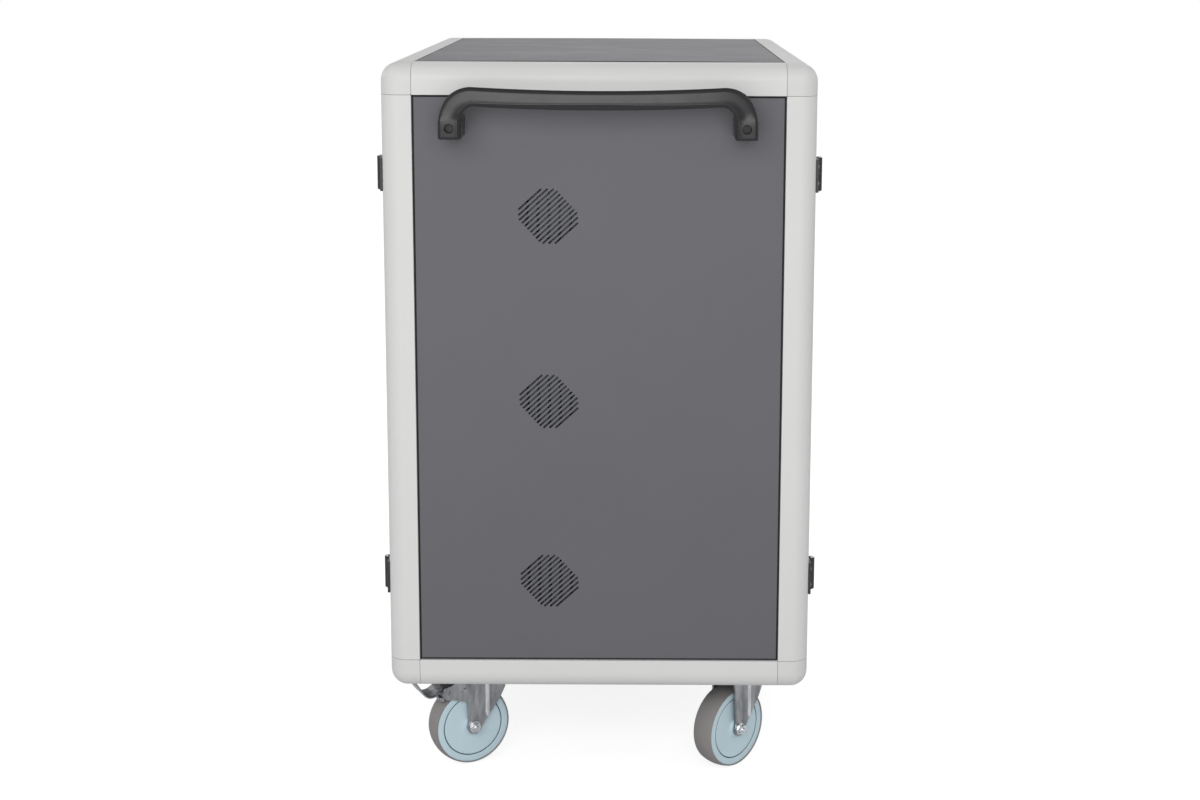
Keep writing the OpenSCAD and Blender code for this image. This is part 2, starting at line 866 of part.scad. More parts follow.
// Rounded rib pressed out of a fork leg
module leg_bead(side) {
    h = crown_z - wheel_r - bead_low;
    intersection() {
        translate([-trail + bead_x, side * (leg_out + bead_out - bead_r), wheel_r + bead_low])
            cylinder(r = bead_r, h = h);
        translate([-trail + bead_x - bead_r, side * (leg_in + bead_r) - bead_r, wheel_r + bead_low])
            cube([2 * bead_r, 2 * bead_r, h]);
    }
}

module fork(braked) {
    color(steel_tone) difference() {
        union() {
            for (side = [-1, 1]) {
                translate([0, side * (leg_in + fork_t / 2) + fork_t / 2, 0]) rotate([90, 0, 0])
                    linear_extrude(fork_t) leg_outline(braked);
                leg_bead(side);
                if (braked) translate([-trail - rivet_x, side * leg_out, wheel_r + rivet_z])
                    rotate([90, 0, 0]) cylinder(r = rivet_r, h = 2 * rivet_h, center = true);
            }
            translate([-trail - leg_r, -leg_out, crown_z])
                cube([trail + leg_r + leg_front, 2 * leg_out, fork_t]);
            translate([0, 0, crown_z]) cylinder(r = crown_r, h = fork_t);
            translate([0, 0, crown_z]) cylinder(r = lower_race_r, h = race_top - crown_z);
            if (braked) translate([-trail - pivot_x, 0, wheel_r + pivot_z]) rotate([90, 0, 0])
                cylinder(r = pivot_r, h = 2 * (leg_out + rivet_h), center = true);
        }
        translate([0, 0, crown_z - over]) cylinder(r = kingpin_r + pin_gap, h = race_top - crown_z + 2 * over);
        translate([-trail, 0, wheel_r]) rotate([90, 0, 0])
            cylinder(r = axle_r, h = 2 * (leg_out + over), center = true);
    }
}

module axle() {
    color(steel_tone) translate([-trail, 0, wheel_r]) rotate([90, 0, 0]) {
        cylinder(r = axle_r, h = 2 * leg_out, center = true);
        cylinder(r = sleeve_r, h = 2 * leg_in, center = true);
        translate([0, 0, leg_out]) {
            cylinder(r = washer_r, h = washer_t);
            cylinder(r = nut_r, h = washer_t + nut_h, $fn = 6);
            cylinder(r = axle_r, h = washer_t + nut_h + axle_end);
        }
        translate([0, 0, -leg_out - bolt_head_h]) cylinder(r = nut_r, h = bolt_head_h, $fn = 6);
    }
}

// Rim section: width along Y, radius along X
module rim_section() {
    groove_r = rim_r * rim_groove_share;
    difference() {
        union() {
            translate([0, -rim_w / 2]) square([rim_r, rim_w]);
            translate([0, -leg_in + run_gap]) square([hub_r, 2 * (leg_in - run_gap)]);
        }
        translate([0, -leg_in]) square([sleeve_r + pin_gap, 2 * leg_in]);
        for (side = [-1, 1]) translate([groove_r, side * (rim_w / 2 - rim_groove_depth / 2)])
            square([rim_groove_w, rim_groove_depth], center = true);
    }
}

module rim() {
    color("#b8cbd3") translate([-trail, 0, wheel_r]) rotate([90, 0, 0])
        rotate_extrude($fn = 96) rim_section();
}

// Crowned tyre with rounded edges
module tyre_section() {
    intersection() {
        translate([rim_r, -tyre_w / 2]) square([tyre_t, tyre_w]);
        translate([wheel_r - tyre_crown_r, 0]) circle(r = tyre_crown_r, $fn = 180);
        union() {
            translate([0, -tyre_w / 2 + tyre_edge_r]) square([wheel_r, tyre_w - 2 * tyre_edge_r]);
            translate([0, -tyre_w / 2]) square([wheel_r - tyre_edge_r, tyre_w]);
            for (side = [-1, 1]) translate([wheel_r - tyre_edge_r, side * (tyre_w / 2 - tyre_edge_r)])
                circle(r = tyre_edge_r);
        }
    }
}

module tyre() {
    color("#7e7c7c") translate([-trail, 0, wheel_r]) rotate([90, 0, 0])
        rotate_extrude($fn = 96) tyre_section();
}

// Flat strip from the origin to a point
module strip_to(x, z, t) {
    rotate(atan2(z, x)) translate([0, -t / 2]) square([norm([x, z]), t]);
}

// Pedal side view about its pivot
module pedal_outline() {
    strip_to(-pedal_low_x, -pedal_low_z, pedal_t);
    translate([-pedal_low_x, -pedal_low_z]) {
        circle(r = pedal_edge_r);
        strip_to(pedal_low_x - pedal_tip_x, pedal_low_z + pedal_tip_z, pedal_t);
    }
    translate([-pedal_tip_x, pedal_tip_z]) circle(r = pedal_edge_r);
}

module pedal() {
    hub_half = leg_in - run_gap;
    color(steel_tone) translate([-trail - pivot_x, 0, wheel_r + pivot_z]) rotate([90, 0, 0]) difference() {
        union() {
            cylinder(r = pedal_hub_r, h = 2 * hub_half, center = true);
            translate([0, 0, -pedal_w / 2]) linear_extrude(pedal_w) pedal_outline();
            translate([0, 0, -shoe_w / 2]) linear_extrude(shoe_w) {
                strip_to(-shoe_x, -shoe_z, pedal_t);
                translate([-shoe_x, -shoe_z]) circle(r = shoe_r);
            }
        }
        cylinder(r = pivot_r + pin_gap, h = 2 * leg_out, center = true);
    }
}

post();  // front_left_post
on_right() post();  // front_right_post
on_rear() post();  // rear_left_post
on_rear() on_right() post();  // rear_right_post
on_top() cross_rail();  // front_upper_rail
on_top() on_rear() cross_rail();  // rear_upper_rail
on_top() { side_rail(); on_right() side_rail(); }  // upper_side_rails
cross_rail();  // front_lower_rail
on_rear() cross_rail();  // rear_lower_rail
union() { side_rail(); on_right() side_rail(); }  // lower_side_rails
corner_caps();
corner_spigots();
top_panel();
front_panel();
rear_panel();
base_panel();
panel_seals();
front_liner();
rear_liner();
partition();
laptop_shelves();
laptop_dividers();
charger_trays();
power_strips();
mains_inlet();
push_handle();
handle_screws();
hinge_frame_leaves();
hinge_pins();
castor_plates();
castor_bolts();
left_door();
left_hinge_leaves();
left_lock_housing();
left_lock_lever();
left_lock_cam();
on_right() left_door();  // right_door
on_right() left_hinge_leaves();  // right_hinge_leaves
on_right() left_lock_housing();  // right_lock_housing
on_right() left_lock_lever();  // right_lock_lever
on_right() left_lock_cam();  // right_lock_cam
at_front_left() fork(true);  // front_left_fork
at_front_left() axle();  // front_left_axle
at_front_left() rim();  // front_left_rim
at_front_left() tyre();  // front_left_tyre
at_front_left() pedal();  // front_left_pedal
at_rear_left() fork(true);  // rear_left_fork
at_rear_left() axle();  // rear_left_axle
at_rear_left() rim();  // rear_left_rim
at_rear_left() tyre();  // rear_left_tyre
at_rear_left() pedal();  // rear_left_pedal
at_front_right() fork(false);  // front_right_fork
at_front_right() axle();  // front_right_axle
at_front_right() rim();  // front_right_rim
at_front_right() tyre();  // front_right_tyre
at_rear_right() fork(false);  // rear_right_fork
at_rear_right() axle();  // rear_right_axle
at_rear_right() rim();  // rear_right_rim
at_rear_right() tyre();  // rear_right_tyre
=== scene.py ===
import json
import math

import bmesh
import bpy
from mathutils import Matrix, Vector


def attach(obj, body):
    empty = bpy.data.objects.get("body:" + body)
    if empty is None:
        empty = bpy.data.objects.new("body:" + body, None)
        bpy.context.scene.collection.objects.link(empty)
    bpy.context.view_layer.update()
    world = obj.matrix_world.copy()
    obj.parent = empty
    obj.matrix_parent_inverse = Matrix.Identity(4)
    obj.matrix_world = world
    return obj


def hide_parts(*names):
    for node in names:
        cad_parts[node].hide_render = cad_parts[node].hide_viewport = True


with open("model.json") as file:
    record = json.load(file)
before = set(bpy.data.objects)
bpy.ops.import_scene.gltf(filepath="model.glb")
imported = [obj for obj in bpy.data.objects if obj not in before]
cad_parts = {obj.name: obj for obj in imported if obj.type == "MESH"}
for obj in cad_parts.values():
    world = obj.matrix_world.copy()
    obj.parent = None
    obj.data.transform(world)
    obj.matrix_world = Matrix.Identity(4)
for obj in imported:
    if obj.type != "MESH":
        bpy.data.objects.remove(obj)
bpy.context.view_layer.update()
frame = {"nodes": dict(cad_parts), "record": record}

MM = 0.001

# The camera, fitted to the photograph: place in metres, angles in degrees, lens in millimetres
CAMERA_AT = (0.0609, -3.0958, 1.2361)
CAMERA_PITCH = 9.615
CAMERA_YAW = 0.046
CAMERA_ROLL = 0.22
CAMERA_LENS = 57.621
CAMERA_SENSOR = 36
CAMERA_SHIFT = (-0.0333, -0.10)
CAMERA_CLIP = (0.05, 60)

# The cart's main sizes, in millimetres and degrees
SIDE_X = 310.0
FRONT_Y = -386.0
REAR_Y = 464.0
BODY_LOW = 160.0
BODY_TOP = 1085.0
PANEL_RECESS = 3.5
POST = 45.0
CORNER_R = 25.0
TRAIL = 32.0
WHEEL_R = 62.5
CASTOR_INSET = 129.0
CASTORS = {
    "front_left": (-176.0, FRONT_Y + CASTOR_INSET, 28.0),
    "rear_left": (-176.0, REAR_Y - CASTOR_INSET, 12.0),
    "front_right": (220.0, FRONT_Y + CASTOR_INSET, 46.0),
    "rear_right": (220.0, REAR_Y - CASTOR_INSET, 34.0),
}
BRAKED = ("front_left", "rear_left")


# Materials

NOISE_LOW, NOISE_HIGH = 0.3, 0.7
PATCH_SCALE, PATCH_LOW, PATCH_HIGH = 0.37, 0.56, 0.60
GLOSS_SCALE = 2.7
# Upward faces get painted shade and a matt roughness, between these slopes of the normal
UPWARD_LOW, UPWARD_HIGH, TOP_MATT_ROUGH = 0.45, 0.85, 0.9


def srgb(*levels):
    """Linear colour of 8-bit display levels."""
    out = []
    for level in levels:
        c = level / 255
        out.append(c / 12.92 if c <= 0.04045 else ((c + 0.055) / 1.055) ** 2.4)
    return (*out, 1.0)


def shade(colour, share):
    return (*(min(1.0, c * share) for c in colour[:3]), 1.0)


def noise(tree, source, scale, detail, roughness=0.5):
    """Value of a noise texture."""
    node = tree.nodes.new("ShaderNodeTexNoise")
    node.inputs["Scale"].default_value = scale
    node.inputs["Detail"].default_value = detail
    node.inputs["Roughness"].default_value = roughness
    tree.links.new(source, node.inputs["Vector"])
    return node.outputs["Fac"]


def spread(tree, source, low, high, start=NOISE_LOW, end=NOISE_HIGH):
    """Maps the values from start to end onto low to high."""
    node = tree.nodes.new("ShaderNodeMapRange")
    node.inputs["From Min"].default_value = start
    node.inputs["From Max"].default_value = end
    node.inputs["To Min"].default_value = low
    node.inputs["To Max"].default_value = high
    tree.links.new(source, node.inputs["Value"])
    return node.outputs["Result"]


def blend(tree, factor, colour, over):
    """Lays a constant colour over another one."""
    node = tree.nodes.new("ShaderNodeMix")
    node.data_type = "RGBA"
    tree.links.new(factor, node.inputs["Factor"])
    tree.links.new(colour, node.inputs["A"])
    node.inputs["B"].default_value = over
    return node.outputs["Result"]


def drifting(tree, source, scale, low, high):
    """Colour that drifts between two others."""
    node = tree.nodes.new("ShaderNodeValToRGB")
    for stop, position, colour in zip(node.color_ramp.elements, (NOISE_LOW, NOISE_HIGH), (low, high)):
        stop.position = position
        stop.color = colour
    tree.links.new(noise(tree, source, scale, 4.0, 0.55), node.inputs["Fac"])
    return node.outputs["Color"]


def speckled(tree, place, colour, scale, size, share, speck):
    """Small spots of another colour, in patches."""
    cells = tree.nodes.new("ShaderNodeTexVoronoi")
    cells.inputs["Scale"].default_value = scale
    tree.links.new(place, cells.inputs["Vector"])
    spots = spread(tree, cells.outputs["Distance"], 1.0, 0.0, size * 0.5, size)
    patches = spread(tree, noise(tree, place, scale * PATCH_SCALE, 1.0), 0.0, share, PATCH_LOW, PATCH_HIGH)
    both = tree.nodes.new("ShaderNodeMath")
    both.operation = "MULTIPLY"
    tree.links.new(spots, both.inputs[0])
    tree.links.new(patches, both.inputs[1])
    return blend(tree, both.outputs["Value"], colour, srgb(*speck))


def painted_top_shade(tree, normal, colour, roughness, top):
    """Painted shade on the faces that look up: a darker colour there, and a matt roughness."""
    split = tree.nodes.new("ShaderNodeSeparateXYZ")
    tree.links.new(normal, split.inputs["Vector"])
    upward = spread(tree, split.outputs["Z"], 0.0, 1.0, UPWARD_LOW, UPWARD_HIGH)
    matt = tree.nodes.new("ShaderNodeMapRange")
    matt.inputs["To Max"].default_value = TOP_MATT_ROUGH
    tree.links.new(upward, matt.inputs["Value"])
    tree.links.new(roughness, matt.inputs["To Min"])
    return blend(tree, upward, colour, srgb(*top)), matt.outputs["Result"]


def bumped(tree, place, layers):
    """Normal of bumps laid over one another, or None if there are none."""
    normal = None
    for scale, strength, depth in layers:
        bump = tree.nodes.new("ShaderNodeBump")
        bump.inputs["Strength"].default_value = strength
        bump.inputs["Distance"].default_value = depth
        tree.links.new(noise(tree, place, scale, 2.0), bump.inputs["Height"])
        if normal:
            tree.links.new(normal, bump.inputs["Normal"])
        normal = bump.outputs["Normal"]
    return normal


def material(name, base, rough, vary, vary_scale, rough_vary=0.05, metallic=0.0, specular=0.5,
             tint=None, streaks=None, specks=None, painted_shade_top=None, waves=None, grain=None):
    """Procedural surface: drifting colour, drifting gloss, specks, shallow waves and fine grain.

    Colours are 8-bit display levels. The colour drifts from base to tint. streaks stretches the
    drift along each axis. specks is (scale, size, share, colour). The top colour, if given, is
    painted shade: upward faces darken to it as they get matt. waves and grain are (scale, strength, depth).
    """
    mat = bpy.data.materials.new(name)
    mat.use_nodes = True
    tree = mat.node_tree
    tree.nodes.clear()
    coord = tree.nodes.new("ShaderNodeTexCoord")
    place = stretched = coord.outputs["Object"]
    if streaks:
        mapping = tree.nodes.new("ShaderNodeMapping")
        mapping.inputs["Scale"].default_value = streaks
        tree.links.new(place, mapping.inputs["Vector"])
        stretched = mapping.outputs["Vector"]

    colour = drifting(tree, stretched, vary_scale, shade(srgb(*base), 1 - vary),
                      shade(srgb(*(tint or base)), 1 + vary))
    if specks:
        colour = speckled(tree, place, colour, *specks)
    gloss = noise(tree, stretched, vary_scale * GLOSS_SCALE, 3.0)
    roughness = spread(tree, gloss, rough - rough_vary, rough + rough_vary)
    # Painted shade: upward faces darken, and get matt
    if painted_shade_top:
        colour, roughness = painted_top_shade(tree, coord.outputs["Normal"], colour, roughness, painted_shade_top)

    shader = tree.nodes.new("ShaderNodeBsdfPrincipled")
    shader.inputs["Metallic"].default_value = metallic
    shader.inputs["Specular IOR Level"].default_value = specular
    tree.links.new(colour, shader.inputs["Base Color"])
    tree.links.new(roughness, shader.inputs["Roughness"])
    normal = bumped(tree, place, [layer for layer in (waves, grain) if layer])
    if normal:
        tree.links.new(normal, shader.inputs["Normal"])
    out = tree.nodes.new("ShaderNodeOutputMaterial")
    tree.links.new(shader.outputs["BSDF"], out.inputs["Surface"])
    return mat


FINISHES = {
    "frame_profile": dict(base=(218, 218, 217), rough=0.46, vary=0.012, vary_scale=5.0,
                          specks=(70.0, 0.05, 0.10, (182, 180, 174)),
                          waves=(60.0, 0.04, 0.0004), grain=(1500.0, 0.10, 0.0001)),
    "corner_plastic": dict(base=(216, 216, 215), rough=0.50, vary=0.015, vary_scale=8.0, rough_vary=0.04,
                           grain=(2200.0, 0.16, 0.0001)),
    "spigot_plastic": dict(base=(58, 58, 60), rough=0.55, vary=0.05, vary_scale=20.0,
                           grain=(1500.0, 0.2, 0.0001)),
    "panel_sheet": dict(base=(99, 99, 104), rough=0.46, vary=0.02, vary_scale=5.0, rough_vary=0.03,
                        specular=0.36, specks=(48.0, 0.045, 0.55, (74, 74, 79)),
                        waves=(7.0, 0.02, 0.0008), grain=(1700.0, 0.20, 0.0001)),
    "base_sheet": dict(base=(84, 84, 88), rough=0.50, vary=0.06, vary_scale=8.0, rough_vary=0.06,
                       waves=(12.0, 0.06, 0.001), grain=(1500.0, 0.22, 0.00012)),
    "seal_rubber": dict(base=(20, 20, 21), rough=0.72, vary=0.10, vary_scale=40.0,
                        grain=(900.0, 0.2, 0.0001)),
    "liner_sheet": dict(base=(92, 96, 101), rough=0.48, vary=0.05, vary_scale=9.0, rough_vary=0.06,
                        waves=(14.0, 0.05, 0.0008), grain=(1400.0, 0.16, 0.0001)),
    "shelf_sheet": dict(base=(146, 149, 153), rough=0.46, vary=0.04, vary_scale=9.0, rough_vary=0.06,
                        waves=(12.0, 0.05, 0.0008), grain=(1400.0, 0.18, 0.0001)),
    "divider_sheet": dict(base=(178, 182, 186), rough=0.40, vary=0.07, vary_scale=26.0, rough_vary=0.10,
                          metallic=0.85, grain=(700.0, 0.08, 0.0001)),
    "strip_plastic": dict(base=(38, 38, 41), rough=0.42, vary=0.06, vary_scale=20.0,
                          grain=(1800.0, 0.18, 0.0001)),
    "inlet_plastic": dict(base=(28, 28, 30), rough=0.44, vary=0.06, vary_scale=25.0,
                          grain=(1800.0, 0.18, 0.0001)),
    # The handle's upward faces are darker: painted shade on its top
    "handle_plastic": dict(base=(26, 26, 29), rough=0.27, vary=0.06, vary_scale=14.0, rough_vary=0.03,
                           specular=0.44, painted_shade_top=(16, 16, 17),
                           waves=(45.0, 0.02, 0.0005), grain=(1900.0, 0.12, 0.0001)),
    "screw_black": dict(base=(24, 24, 25), rough=0.42, vary=0.08, vary_scale=60.0, rough_vary=0.08,
                        specular=0.4),
    "hinge_black": dict(base=(42, 42, 44), rough=0.30, vary=0.12, vary_scale=45.0, rough_vary=0.08,
                        grain=(1300.0, 0.16, 0.0001)),
    "pin_steel": dict(base=(196, 198, 200), rough=0.26, vary=0.06, vary_scale=60.0, rough_vary=0.08,
                      metallic=1.0),
    "lock_black": dict(base=(30, 30, 32), rough=0.42, vary=0.08, vary_scale=30.0,
                       grain=(1700.0, 0.18, 0.0001)),
    "lever_black": dict(base=(32, 32, 35), rough=0.38, vary=0.08, vary_scale=30.0,
                        grain=(1700.0, 0.16, 0.0001)),
    "cam_steel": dict(base=(180, 183, 186), rough=0.32, vary=0.08, vary_scale=40.0, rough_vary=0.10,
                      metallic=1.0),
    "castor_zinc": dict(base=(128, 131, 136), rough=0.24, vary=0.28, vary_scale=30.0, rough_vary=0.08,
                        metallic=1.0, tint=(166, 168, 171), streaks=(2.2, 2.2, 0.6),
                        waves=(60.0, 0.20, 0.0010), grain=(500.0, 0.08, 0.0001)),
    # Brighter zinc for the axles, and for the fork ribs, where it paints a highlight along each rib
    "bright_zinc_and_highlight": dict(base=(206, 209, 212), rough=0.20, vary=0.10, vary_scale=40.0, rough_vary=0.06,
                      metallic=1.0, tint=(232, 234, 236), streaks=(2.2, 2.2, 0.6),
                      grain=(500.0, 0.05, 0.0001)),
    "rim_plastic": dict(base=(201, 222, 231), rough=0.42, vary=0.025, vary_scale=12.0,
                        grain=(1600.0, 0.10, 0.0001)),
    # Dark blue in the rim's groove: painted shade in the recess
    "groove_painted_shade": dict(base=(66, 92, 108), rough=0.6, vary=0.06, vary_scale=30.0,
                        grain=(1500.0, 0.1, 0.0001)),
    "tyre_rubber": dict(base=(143, 140, 139), rough=0.62, vary=0.05, vary_scale=16.0, rough_vary=0.06,
                        waves=(90.0, 0.06, 0.0005), grain=(1100.0, 0.22, 0.00015)),
}
MATERIALS = {name: material(name, **finish) for name, finish in FINISHES.items()}


# Mesh helpers: points are in millimetres, and vertices in metres

DOUBLE, SLIVER = 1e-6, 1e-7
PIECE_SHARP, CUT_SHARP, TYRE_SHARP = 35.0, 38.0, 50.0


def closed_mesh(name, verts, faces):
    """Mesh with its doubled vertices merged and its normals outward."""
    mesh = bpy.data.meshes.new(name)
    mesh.from_pydata([tuple(v) for v in verts], [], faces)
    bm = bmesh.new()
    bm.from_mesh(mesh)
    bmesh.ops.remove_doubles(bm, verts=bm.verts, dist=DOUBLE)
    bmesh.ops.dissolve_degenerate(bm, edges=bm.edges, dist=SLIVER)
    bmesh.ops.recalc_face_normals(bm, faces=bm.faces)
    bm.to_mesh(mesh)
    bm.free()
    return mesh


def smooth(mesh, angle):
    """Shades a mesh smooth between its sharp edges."""
    mesh.polygons.foreach_set("use_smooth", [True] * len(mesh.polygons))
    mesh.set_sharp_from_angle(angle=math.radians(angle))


def new_piece(name, verts, faces, body, slot, replaced=(), angle=PIECE_SHARP, finish=None):
    """A closed piece that rides on a body and takes its slot's finish or another one."""
    obj = bpy.data.objects.new(name, closed_mesh(name, verts, faces))
    bpy.context.scene.collection.objects.link(obj)
    smooth(obj.data, angle)
    obj.data.materials.append(MATERIALS[finish or slot])
    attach(obj, body)
    if replaced:
        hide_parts(*replaced)
    return obj


def shape_with(obj, parts, operation="DIFFERENCE"):
    """Takes closed forms away from a piece, or adds them, and keeps the result as its mesh."""
    cutter = bpy.data.objects.new("cutter", closed_mesh("cutter", *joined(parts)))
    bpy.context.scene.collection.objects.link(cutter)
    mod = obj.modifiers.new("cut", "BOOLEAN")
    mod.operation, mod.solver, mod.object = operation, "EXACT", cutter
    bpy.context.view_layer.update()
    made = bpy.data.meshes.new_from_object(obj.evaluated_get(bpy.context.evaluated_depsgraph_get()))
    obj.modifiers.clear()
    smooth(made, CUT_SHARP)
    obj.data = made
    bpy.data.objects.remove(cutter)


def joined(parts):
    """Vertices and faces of several parts in one."""
    verts, faces = [], []
    for v, f in parts:
        base = len(verts)
        verts += v
        faces += [tuple(base + i for i in face) for face in f]
    return verts, faces


def skinned(sections):
    """Vertices and faces of a closed form through sections with as many vertices each."""
    n = len(sections[0])
    last = (len(sections) - 1) * n
    verts = [v for section in sections for v in section]
    faces = [(i + k, i + (k + 1) % n, i + n + (k + 1) % n, i + n + k)
             for i in range(0, last, n) for k in range(n)]
    faces += [tuple(range(n - 1, -1, -1)), tuple(range(last, last + n))]
    return verts, faces


def revolved(profile, segments, place, closed=False):
    """Vertices and faces of a profile of (radius, height) turned round place's Z axis."""
    verts, faces, n = [], [], len(profile)
    for i in range(segments):
        turn = 2 * math.pi * i / segments
        for r, h in profile:
            verts.append(place @ (Vector((r * math.cos(turn), r * math.sin(turn), h)) * MM))
    for i in range(segments):
        j = (i + 1) % segments
        for k in range(n if closed else n - 1):
            m = (k + 1) % n
            faces.append((i * n + k, j * n + k, j * n + m, i * n + m))
    return verts, faces


def box(low, high):
    """Vertices and faces of a box between two corners."""
    xs, ys, zs = zip(low, high)
    verts = [Vector((x, y, z)) * MM for x in xs for y in ys for z in zs]
    return verts, [(0, 1, 3, 2), (4, 6, 7, 5), (0, 4, 5, 1), (2, 3, 7, 6), (0, 2, 6, 4), (1, 5, 7, 3)]


def arc(cx, cy, r, start, end, count):
    """Points of an arc, with angles in degrees."""
    turns = [math.radians(start + (end - start) * i / (count - 1)) for i in range(count)]
    return [(cx + r * math.cos(turn), cy + r * math.sin(turn)) for turn in turns]


def aimed(at, normal):
    """Place at a point with its Z axis along a normal."""
    turn = Vector(normal).to_track_quat("Z", "Y").to_matrix().to_4x4()
    return Matrix.Translation(Vector(at) * MM) @ turn


def at_castor(castor, x=0.0, z=0.0):
    """Place in a castor's vertical middle plane, turned with the castor."""
    axis_x, axis_y, turn = CASTORS[castor]
    return (Matrix.Translation(Vector((axis_x, axis_y, 0)) * MM) @ Matrix.Rotation(math.radians(turn), 4, "Z")
            @ Matrix.Translation(Vector((x, 0, z)) * MM))


# Every CAD node gets its finish

# The axles take the brighter zinc that paints the highlight on the fork ribs
NODE_FINISHES = {castor + "_axle": "bright_zinc_and_highlight" for castor in CASTORS}
for row in frame["record"]["subparts"]:
    node, slot = row["node"], row["material_slot"]
    obj = frame["nodes"][node]
    obj.data.materials.clear()
    obj.data.materials.append(MATERIALS[NODE_FINISHES.get(node, slot)])


# The CAD nodes that keep their shape get softened edges, of these widths in millimetres

EDGES = {
    0.2: ["front_liner", "rear_liner"],
    0.4: ["front_panel", "rear_panel", "partition", "laptop_shelves", "charger_trays", "power_strips"],
    0.5: ["mains_inlet", "hinge_frame_leaves", "left_hinge_leaves", "right_hinge_leaves",
          "castor_plates", "castor_bolts", "left_lock_cam", "right_lock_cam",
          *(castor + part for castor in CASTORS for part in ("_fork", "_axle"))],
    0.6: ["laptop_dividers"],
    0.8: ["front_left_post", "front_right_post", "rear_left_post", "rear_right_post",
          "front_upper_rail", "rear_upper_rail", "upper_side_rails",
          "front_lower_rail", "rear_lower_rail", "lower_side_rails", "left_door", "right_door"],
    0.9: ["corner_caps"],
    1.0: ["left_lock_housing", "right_lock_housing"],
    1.6: ["left_lock_lever", "right_lock_lever"],
}
EDGE_WELD, EDGE_SEGMENTS, EDGE_SHARP, EDGE_FLAT, FACE_WEIGHT = 1e-5, 2, 30.0, 0.6, 60


def soften(obj, width):
    """Rounds the sharp edges of a CAD node."""
    weld = obj.modifiers.new("weld", "WELD")
    weld.merge_threshold = EDGE_WELD
    flat = obj.modifiers.new("flat", "DECIMATE")
    flat.decimate_type, flat.angle_limit = "DISSOLVE", math.radians(EDGE_FLAT)
    bevel = obj.modifiers.new("bevel", "BEVEL")
    bevel.width, bevel.segments = width * MM, EDGE_SEGMENTS
    bevel.limit_method, bevel.angle_limit = "ANGLE", math.radians(EDGE_SHARP)
    normals = obj.modifiers.new("normals", "WEIGHTED_NORMAL")
    normals.keep_sharp, normals.weight = False, FACE_WEIGHT


for width, nodes in EDGES.items():
    for node in nodes:
        soften(frame["nodes"][node], width)


# Push handle

HANDLE_HALF = 222.0
HANDLE_TOP = 1055.0
HANDLE_LOW = 983.0
HANDLE_REACH = 78.0
HANDLE_BOW = 20.0
BAR_H, BAR_T, BAR_SAG = 26.0, 20.0, 4.0
FOOT_W, FOOT_H = 32.5, 31.0
BEND_OUT, BEND_IN = 46.0, 19.0
BOW_R = (HANDLE_HALF ** 2 + HANDLE_BOW ** 2) / (2 * HANDLE_BOW)
SAG_HALF = HANDLE_HALF - BEND_OUT
SAG_R = (SAG_HALF ** 2 + BAR_SAG ** 2) / (2 * BAR_SAG)
FOOT_X = HANDLE_HALF - FOOT_W / 2
FOOT_Z = HANDLE_LOW + FOOT_H / 2
FOOT_LEVELS = (0.0, 0.5, 1.6, 3.2, 6.0, 11.0, 16.0, 21.0, 25.0)
SOLE_R = 3.2
BEND_STEPS, BAR_STEPS, FOOT_FADE_STEPS = 22, 26, 5.0
LEAN_FROM, LEAN_EASE, LEAN_SLOPE, LEAN_FOOT = 993.0, 20.0, 0.16, -3.5
CREASE_SPAN, CREASE_IN, CREASE_MORE = 175.0, 5.0, 3.6
DROP, DROP_MORE = 1.8, 1.0
FRONT_R, INNER_R, BACK_R, BACK_LESS = 5.5, 2.2, 4.0, 3.2
WELL_R, WELL_OUT, WELL_DEPTH, WELL_STEPS = 6.8, 14.0, 10.0, 48


def handle_front(x):
    """Y of the handle's bowed front face at x."""
    return FRONT_Y - HANDLE_REACH + BOW_R - math.sqrt(BOW_R ** 2 - x * x)


def lean(z):
    """How far the front face lies back at a height: upright at the feet, leaning back above them."""
    t = min(max(z - LEAN_FROM, 0.0), LEAN_EASE)
    return LEAN_FOOT + LEAN_SLOPE * (t * t / (2 * LEAN_EASE) + max(0.0, z - LEAN_FROM - LEAN_EASE))


def bar_top(x):
    """Height of the sagging bar's upper edge at x."""
    return HANDLE_TOP - BAR_SAG + SAG_R - math.sqrt(SAG_R ** 2 - min(abs(x), SAG_HALF) ** 2)


def sole_inset(level):
    """How far the foot's rounded end lies in, at a height above it."""
    if level >= SOLE_R:
        return 0.0
    return SOLE_R - math.sqrt(SOLE_R ** 2 - (SOLE_R - level) ** 2)


def handle_stations():
    """Outer point, inner point, foot share and inset of every section of the left half, from the foot up."""
    rows = []
    foot_in = -HANDLE_HALF + FOOT_W
    for level in FOOT_LEVELS:
        z = HANDLE_LOW + level
        rows.append(((-HANDLE_HALF, z), (foot_in, z), 1.0, sole_inset(level)))
    outer_x, outer_z = -SAG_HALF, HANDLE_TOP - BEND_OUT
    inner_x, inner_z = foot_in + BEND_IN, HANDLE_TOP - BAR_H - BEND_IN
    for i in range(BEND_STEPS + 1):
        turn = math.radians(180 - 90 * i / BEND_STEPS)
        outer = (outer_x + BEND_OUT * math.cos(turn), outer_z + BEND_OUT * math.sin(turn))
        inner = (inner_x + BEND_IN * math.cos(turn), inner_z + BEND_IN * math.sin(turn))
        share = max(0.0, 1 - i / FOOT_FADE_STEPS)
        rows.append((outer, inner, share * share * (3 - 2 * share), 0.0))
    for i in range(1, BAR_STEPS + 1):
        left = 1 - i / BAR_STEPS
        outer, inner = outer_x * left, inner_x * left
        rows.append(((outer, bar_top(outer)), (inner, bar_top(inner) - BAR_H), 0.0, 0.0))
    return rows


